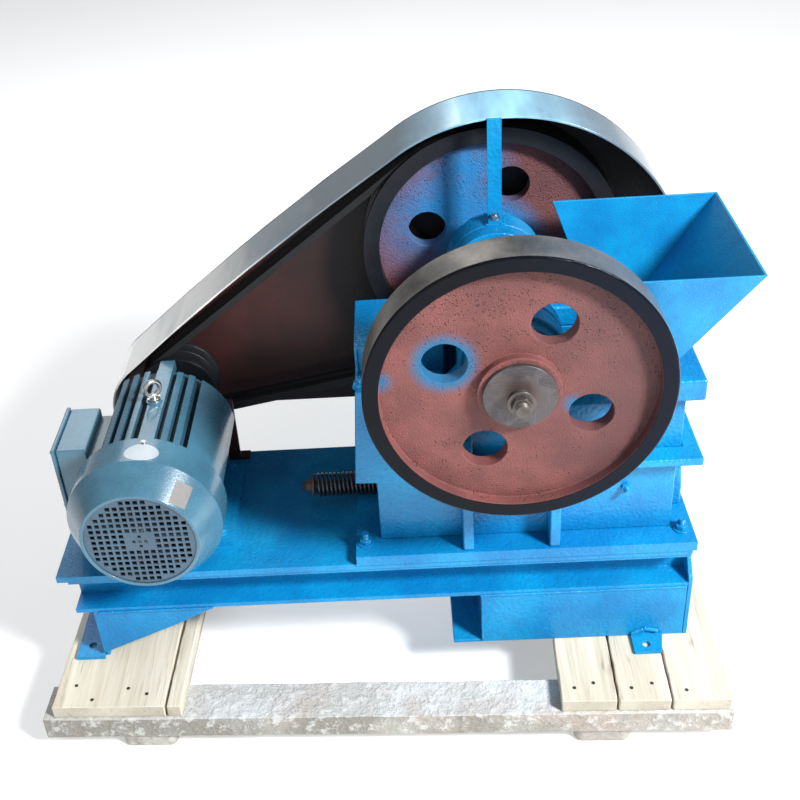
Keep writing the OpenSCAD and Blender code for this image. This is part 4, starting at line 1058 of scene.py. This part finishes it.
flywheel = rounded("flywheel", "red_primer", 2 * MM, red_web, rim_side, rim_face,
                   body="crusher_shaft")
finish_faces(flywheel, 1, lambda corners, normal: least_radius(corners) > FLY_RECESS_R
             and (abs(normal.y) > 0.4 or least_radius(corners) > RIM_INNER_R))
finish_faces(flywheel, 2, lambda corners, normal: least_radius(corners) > WHEEL_R - 0.8 * MM)
pulley = rounded("belt_pulley", "red_primer", 2 * MM, sprayed_web, pulley_iron,
                 body="crusher_shaft")
finish_faces(pulley, 1, lambda corners, normal: least_radius(corners) > PULLEY_RECESS_R)
rounded("flywheel_end_plate", "scratched_steel", 1.5 * MM, plate_grey, body="crusher_shaft")
strew(stacked("shaft_end_bolt", ("round", 12.5, 11), ("round", 17, 2.6), ("hex", 13, 7.5),
              ("thread", 8, 7.5)), "shaft_end_bolt",
      [(182.5, -209, 581)], "bolt_steel", bolt_grey, turn=forward_turn,
      body="crusher_shaft", stands_for=("shaft_end_bolt",))
rounded("eccentric_shaft", "scratched_steel", 1 * MM, bare_shaft, body="crusher_shaft")
print("faces of the flywheel:", len(flywheel.data.polygons))

# %% [markdown]
# ## Motor castings
#
# The motor's frame is cast with cooling fins, the end shields are turned castings, and the
# cowl is pressed sheet. They are copied and rounded like the frame, each by its own amount.

# %% Motor castings
MOTOR_AXIS = Vector((-0.305, 0, 0.359))
motor_pieces = {"motor_frame": 1.5, "motor_front_shield": 1.5, "motor_drive_shield": 2,
                "motor_cowl": 0.8, "motor_grille": 0.3, "motor_terminal_box": 3,
                "motor_terminal_lid": 2}
for node, width in motor_pieces.items():
    rounded(node, "motor_paint", width * MM,
            grille_enamel if node == "motor_grille" else motor_enamel)
print("motor castings:", len(motor_pieces))

# %% [markdown]
# ## Feet and fin gaps
#
# The feet were sprayed along with the frame. The gaps between the fins are coloured dark
# and dull, which is painted shade for their depth. Feet and fins are one casting, and cutting
# it up would open seams. One flat cut at the top of the feet only adds edges, and the faces
# below it, and those nearer to the axis than the fins' tips, then get finishes of their own.

# %% Feet and fin gaps
FEET_TOP, STATOR_R = 0.2685, 84.6 * MM


def is_foot(corners, normal):
    """True for a face that lies below the top of the feet."""
    return max(corner.z for corner in corners) < FEET_TOP + 0.1 * MM


def is_fin_gap(corners, normal):
    """True for a face between the fins that doesn't look along the axis."""
    reach = max(math.hypot(corner.x - MOTOR_AXIS.x, corner.z - MOTOR_AXIS.z)
                for corner in corners)
    return abs(normal.y) < 0.5 and reach < STATOR_R


motor_frame = bpy.data.objects["motor_frame_rounded"]
editing(motor_frame)
bpy.ops.mesh.bisect(plane_co=(0, 0, FEET_TOP), plane_no=(0, 0, 1))
leave()
motor_frame.data.materials.append(frame_blue)
motor_frame.data.materials.append(fin_gap_painted_shade)
finish_faces(motor_frame, 1, is_foot)
finish_faces(motor_frame, 2, is_fin_gap)
print("faces of the motor's frame:", len(motor_frame.data.polygons))

# %% [markdown]
# ## Middle of the grille
#
# The grille has five more small square holes at its middle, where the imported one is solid.
# They could be inset and deleted face by face, but the wall of each hole would then have to
# be bridged. A Boolean modifier cuts a hole and closes its wall in one go.

# %% Middle of the grille
COWL_R, COWL_FRONT_R, COWL_FRONT_Y, COWL_BACK_Y = 103.5 * MM, 78 * MM, -0.1815, -0.094
HOLE_SIZE, HOLE_STEP, HOLE_IN = 4.5 * MM, 8 * MM, 3 * MM
grille = bpy.data.objects["motor_grille_rounded"]
for across, up in ((0, 0), (-1, 0), (1, 0), (0, -1), (0, 1)):
    hole = shaped("hole", "cube", size=HOLE_SIZE)
    bpy.ops.transform.translate(value=(MOTOR_AXIS.x + across * HOLE_STEP,
                                       COWL_FRONT_Y + HOLE_IN, MOTOR_AXIS.z + up * HOLE_STEP))
    leave()
    apply_modifier(grille, "BOOLEAN", operation="DIFFERENCE", object=hole, solver="EXACT")
    bpy.data.objects.remove(hole)
print("faces of the grille:", len(grille.data.polygons))

# %% [markdown]
# ## Screws of the motor
#
# The cowl is held by three screws round its drum, and the lid of the terminal box by four.
# Unlike nuts, screws with round heads look the same however they are turned, so no random
# angle is drawn. One screw is modelled, and each copy is turned until its head looks out.

# %% Screws of the motor
COWL_SCREW_ANGLES, COWL_SCREW_IN, LID_SCREW_IN = (5, 125, 245), 10 * MM, 8 * MM
screw = stacked("cowl_screw", ("round", 4.4, 0.8), ("round", 3.2, 1.6))
screw_places = {}
for number, angle in enumerate(COWL_SCREW_ANGLES, 1):
    out = Matrix.Rotation(math.radians(angle), 4, "Y")
    along_axis = Vector((0, COWL_BACK_Y - COWL_SCREW_IN, 0))
    place = MOTOR_AXIS + out @ Vector((0, 0, COWL_R)) + along_axis
    screw_places[f"cowl_screw_{number}"] = (place, out)
outward = Matrix.Rotation(math.radians(-90), 4, "Y")
low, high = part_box("motor_terminal_lid")
lid_corners = [(y, z) for y in (low[1] + LID_SCREW_IN, high[1] - LID_SCREW_IN)
               for z in (low[2] + LID_SCREW_IN, high[2] - LID_SCREW_IN)]
for number, (y, z) in enumerate(lid_corners, 1):
    screw_places[f"lid_screw_{number}"] = (Vector((low[0], y, z)), outward)
for name, (place, turn) in screw_places.items():
    dress(set_at(screw, name, place, turn), "machine", "motor_paint", bright_steel)
bpy.data.objects.remove(screw)
print("screws:", len(screw_places))

# %% [markdown]
# ## Stickers
#
# Two blank labels are stuck on the cowl: a glossy oval one on its drum, and a paper one on
# its cone. A flat card would stand off the round sheet, so each label is cut out of a drum
# or a cone that is a quarter of a millimetre larger than the cowl. A Boolean modifier keeps
# only what lies inside an oval or a flat block.

# %% Stickers
COWL_TAPER, STICKER_T = 40 * MM, 0.25 * MM
DRUM_LENGTH, DRUM_Y = 0.09, -0.1
OVAL_PLACE, OVAL_HALF = Vector((-0.2957, -0.1240, 0.4590)), (0.0225, 0.0165, 1)
CARD_SIZE, CARD_IN = (0.024, 0.031, 0.004), 16 * MM
CARD_ANGLE, CARD_ASKEW = math.radians(44), math.radians(6)


def sticker(name, shell, cutter, finish):
    """A blank label: the skin of a shell just outside the cowl, where a cutter meets it."""
    apply_modifier(shell, "BOOLEAN", operation="INTERSECT", object=cutter, solver="EXACT")
    bpy.data.objects.remove(cutter)
    work_on(shell)
    bpy.ops.object.shade_smooth_by_angle(angle=math.radians(30))
    shell.name = shell.data.name = name
    dress(shell, "machine", "motor_paint", finish)


lying = Matrix.Rotation(math.radians(90), 4, "X")
drum = shaped("drum", "cylinder", vertices=192, radius=COWL_R + STICKER_T, depth=DRUM_LENGTH)
leave()
drum = moved(drum, "shell", MOTOR_AXIS + Vector((0, DRUM_Y, 0)), lying)
oval = shaped("oval", "cylinder", vertices=64, radius=1, depth=10 * MM)
bpy.ops.transform.resize(value=OVAL_HALF)
leave()
sticker("oval_sticker", drum, moved(oval, "cutter", OVAL_PLACE), gloss_sticker)

cone = shaped("cone", "cone", vertices=192, radius1=COWL_R + STICKER_T,
              radius2=COWL_FRONT_R + STICKER_T, depth=COWL_TAPER)
leave()
cone = moved(cone, "shell", MOTOR_AXIS + Vector((0, COWL_FRONT_Y + COWL_TAPER / 2, 0)), lying)
card = shaped("card", "cube", size=1)
bpy.ops.transform.resize(value=CARD_SIZE)
leave()
slope = math.atan2(COWL_R - COWL_FRONT_R, COWL_TAPER)
around = Matrix.Rotation(CARD_ANGLE, 4, "Y")
askew = Matrix.Rotation(slope, 4, "X") @ Matrix.Rotation(CARD_ASKEW, 4, "Z")
reach = around @ Vector((0, 0, COWL_FRONT_R + CARD_IN * math.tan(slope)))
card_place = MOTOR_AXIS + reach + Vector((0, COWL_FRONT_Y + CARD_IN, 0))
sticker("paper_sticker", cone, moved(card, "cutter", card_place, around @ askew), paper)
print("stickers made")

# %% [markdown]
# ## Rotor and drive
#
# The fan, the shaft and its pulley turn together inside the motor, so they ride on its
# rotor, and a pose moves them as one. Like the eyebolt and the belts, they keep the packed
# shape and only get rounded edges, which is enough for parts that are half hidden.

# %% Rotor and drive
rounded("motor_fan", "fan_plastic", 0.8 * MM, fan_plastic, body="motor_rotor")
rounded("motor_shaft", "scratched_steel", 1 * MM, bare_shaft, body="motor_rotor")
rounded("motor_pulley", "pulley_iron", 1 * MM, pulley_iron, body="motor_rotor")
rounded("motor_eyebolt", "scratched_steel", 0.8 * MM, bright_steel)
rounded("v_belts", "belt_rubber", 0.8 * MM, belt_rubber)
print("motor and drive rounded")

# %% [markdown]
# ## Belt guard
#
# The guard is a band of sheet bent round both wheels, closed at the back by a plate and
# held up by a leg. Outside it is glossy; inside it is coloured nearly black, which is painted
# shade for the dark inside of the guard. Two thin shells, one in the other, would flicker
# where they touch. One rounded copy takes both finishes instead: a face is an inner one when
# it looks at the line between the centres of the two wheels.

# %% Belt guard
GUARD_BIG, GUARD_SMALL = Vector((0.1965, 0, 0.543)), Vector((-0.305, 0, 0.354))
guard_span = GUARD_BIG - GUARD_SMALL


def faces_inward(corners, normal):
    """True for the face of the band that looks at the line between its two centres."""
    middle = sum(corners, Vector()) / len(corners)
    share = (middle - GUARD_SMALL).dot(guard_span) / guard_span.length_squared
    off_line = middle - GUARD_SMALL - guard_span * min(1, max(0, share))
    return abs(normal.y) < 0.5 and normal.dot(off_line) < 0


guard_band = rounded("guard_band", "blue_paint", 0.6 * MM, guard_outer, guard_inner_painted_shade)
finish_faces(guard_band, 1, faces_inward)
guard_back = rounded("guard_back", "red_primer", 0.6 * MM, guard_red, guard_sheet)
finish_faces(guard_back, 1, lambda corners, normal: normal.y > 0.5)
rounded("guard_leg", "red_primer", 0.6 * MM, guard_red)
print("span of the guard's centres:", round(guard_span.length, 4))

# %% [markdown]
# ## Jaw plates
#
# The jaw plates have upright V-shaped teeth that crack the stone. A copy of the flat plate
# is cut by upright planes, two for each tooth, and every second line of the working face
# is pushed into the plate. An Array of wedges would look the same, but it would leave the
# plate in many loose parts.

# %% Jaw plates
TOOTH_PITCH, TOOTH_DEPTH = 14 * MM, 7 * MM


def toothed(node, point, normal):
    """Cuts teeth in the face of a plate that holds the point and looks along the normal."""
    plate = copy_of(node, node + "_toothed")
    low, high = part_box(node)
    lines = round((high[1] - low[1]) / TOOTH_PITCH * 2)
    width = (high[1] - low[1]) / lines
    for line in range(1, lines):
        editing(plate)
        bpy.ops.mesh.bisect(plane_co=(0, low[1] + line * width, 0), plane_no=(0, 1, 0))
        leave()
    for corner in plate.data.vertices:
        line = round((corner.co.y - low[1]) / width)
        if line % 2 == 1 and abs((corner.co - point).dot(normal)) < 0.5 * MM:
            corner.co -= normal * TOOTH_DEPTH
    soften(plate, 1 * MM, 1, 40)
    dress(plate, "machine", "jaw_iron", jaw_iron, stands_for=(node,))


working_faces = {"fixed_jaw_plate": (Vector((0.355, 0, 0.4)), Vector((-1, 0, 0))),
                 "swing_jaw_plate": (Vector((0.255, 0, 0.516)), Vector((0.936, 0, 0.351)))}
for node, (point, normal) in working_faces.items():
    toothed(node, point, normal)
rounded("toggle_plate", "jaw_iron", 2 * MM, jaw_iron)
print("jaw plates toothed")

# %% [markdown]
# ## Tension rod and spring
#
# The rod pulls the swing jaw back, with a coil spring under its nut. A spring can be swept
# along a curve, but the curve has to be drawn first. A Screw modifier winds a small circle
# straight round the rod into the coil, and its two ends are then closed.

# %% Rod and spring
ROD_START, SPRING_START, SPRING_END, ROD_Z = -109, -90.6, 16.6, 289
along_x = Matrix.Rotation(math.radians(90), 4, "Y")
strew(stacked("tension_rod", ("thread", 6, 5.4), ("hex", 10, 9), ("round", 16.5, 3.2),
              ("thread", 6.4, 112), ("round", 7, 240)), "tension_rod",
      [(ROD_START, 0, ROD_Z)], "rusty_steel", rusty_steel, turn=along_x,
      stands_for=("tension_rod",))
WIRE_R, COIL_R, COIL_TURNS = 2.2, 15.2, 17
coil = shaped("coil", "circle", vertices=8, radius=WIRE_R * MM)
bpy.ops.transform.rotate(value=math.radians(90), orient_axis="X", center_override=(0, 0, 0))
bpy.ops.transform.translate(value=(COIL_R * MM, 0, 0))
leave()
coil_run = SPRING_END - SPRING_START - 2 * WIRE_R
apply_modifier(coil, "SCREW", axis="Z", screw_offset=coil_run / COIL_TURNS * MM,
               iterations=COIL_TURNS, steps=18, render_steps=18, use_merge_vertices=False)
editing(coil)
bpy.ops.mesh.fill_holes(sides=8)
bpy.ops.mesh.select_all(action="SELECT")
bpy.ops.mesh.normals_make_consistent(inside=False)
leave()
work_on(coil)
bpy.ops.object.shade_smooth_by_angle(angle=math.radians(60))
spring = moved(coil, "tension_spring_coil",
               Vector((SPRING_START + WIRE_R, 0, ROD_Z)) * MM, along_x)
dress(spring, "machine", "spring_steel", spring_steel, stands_for=("tension_spring",))
print("spring faces:", len(spring.data.polygons))
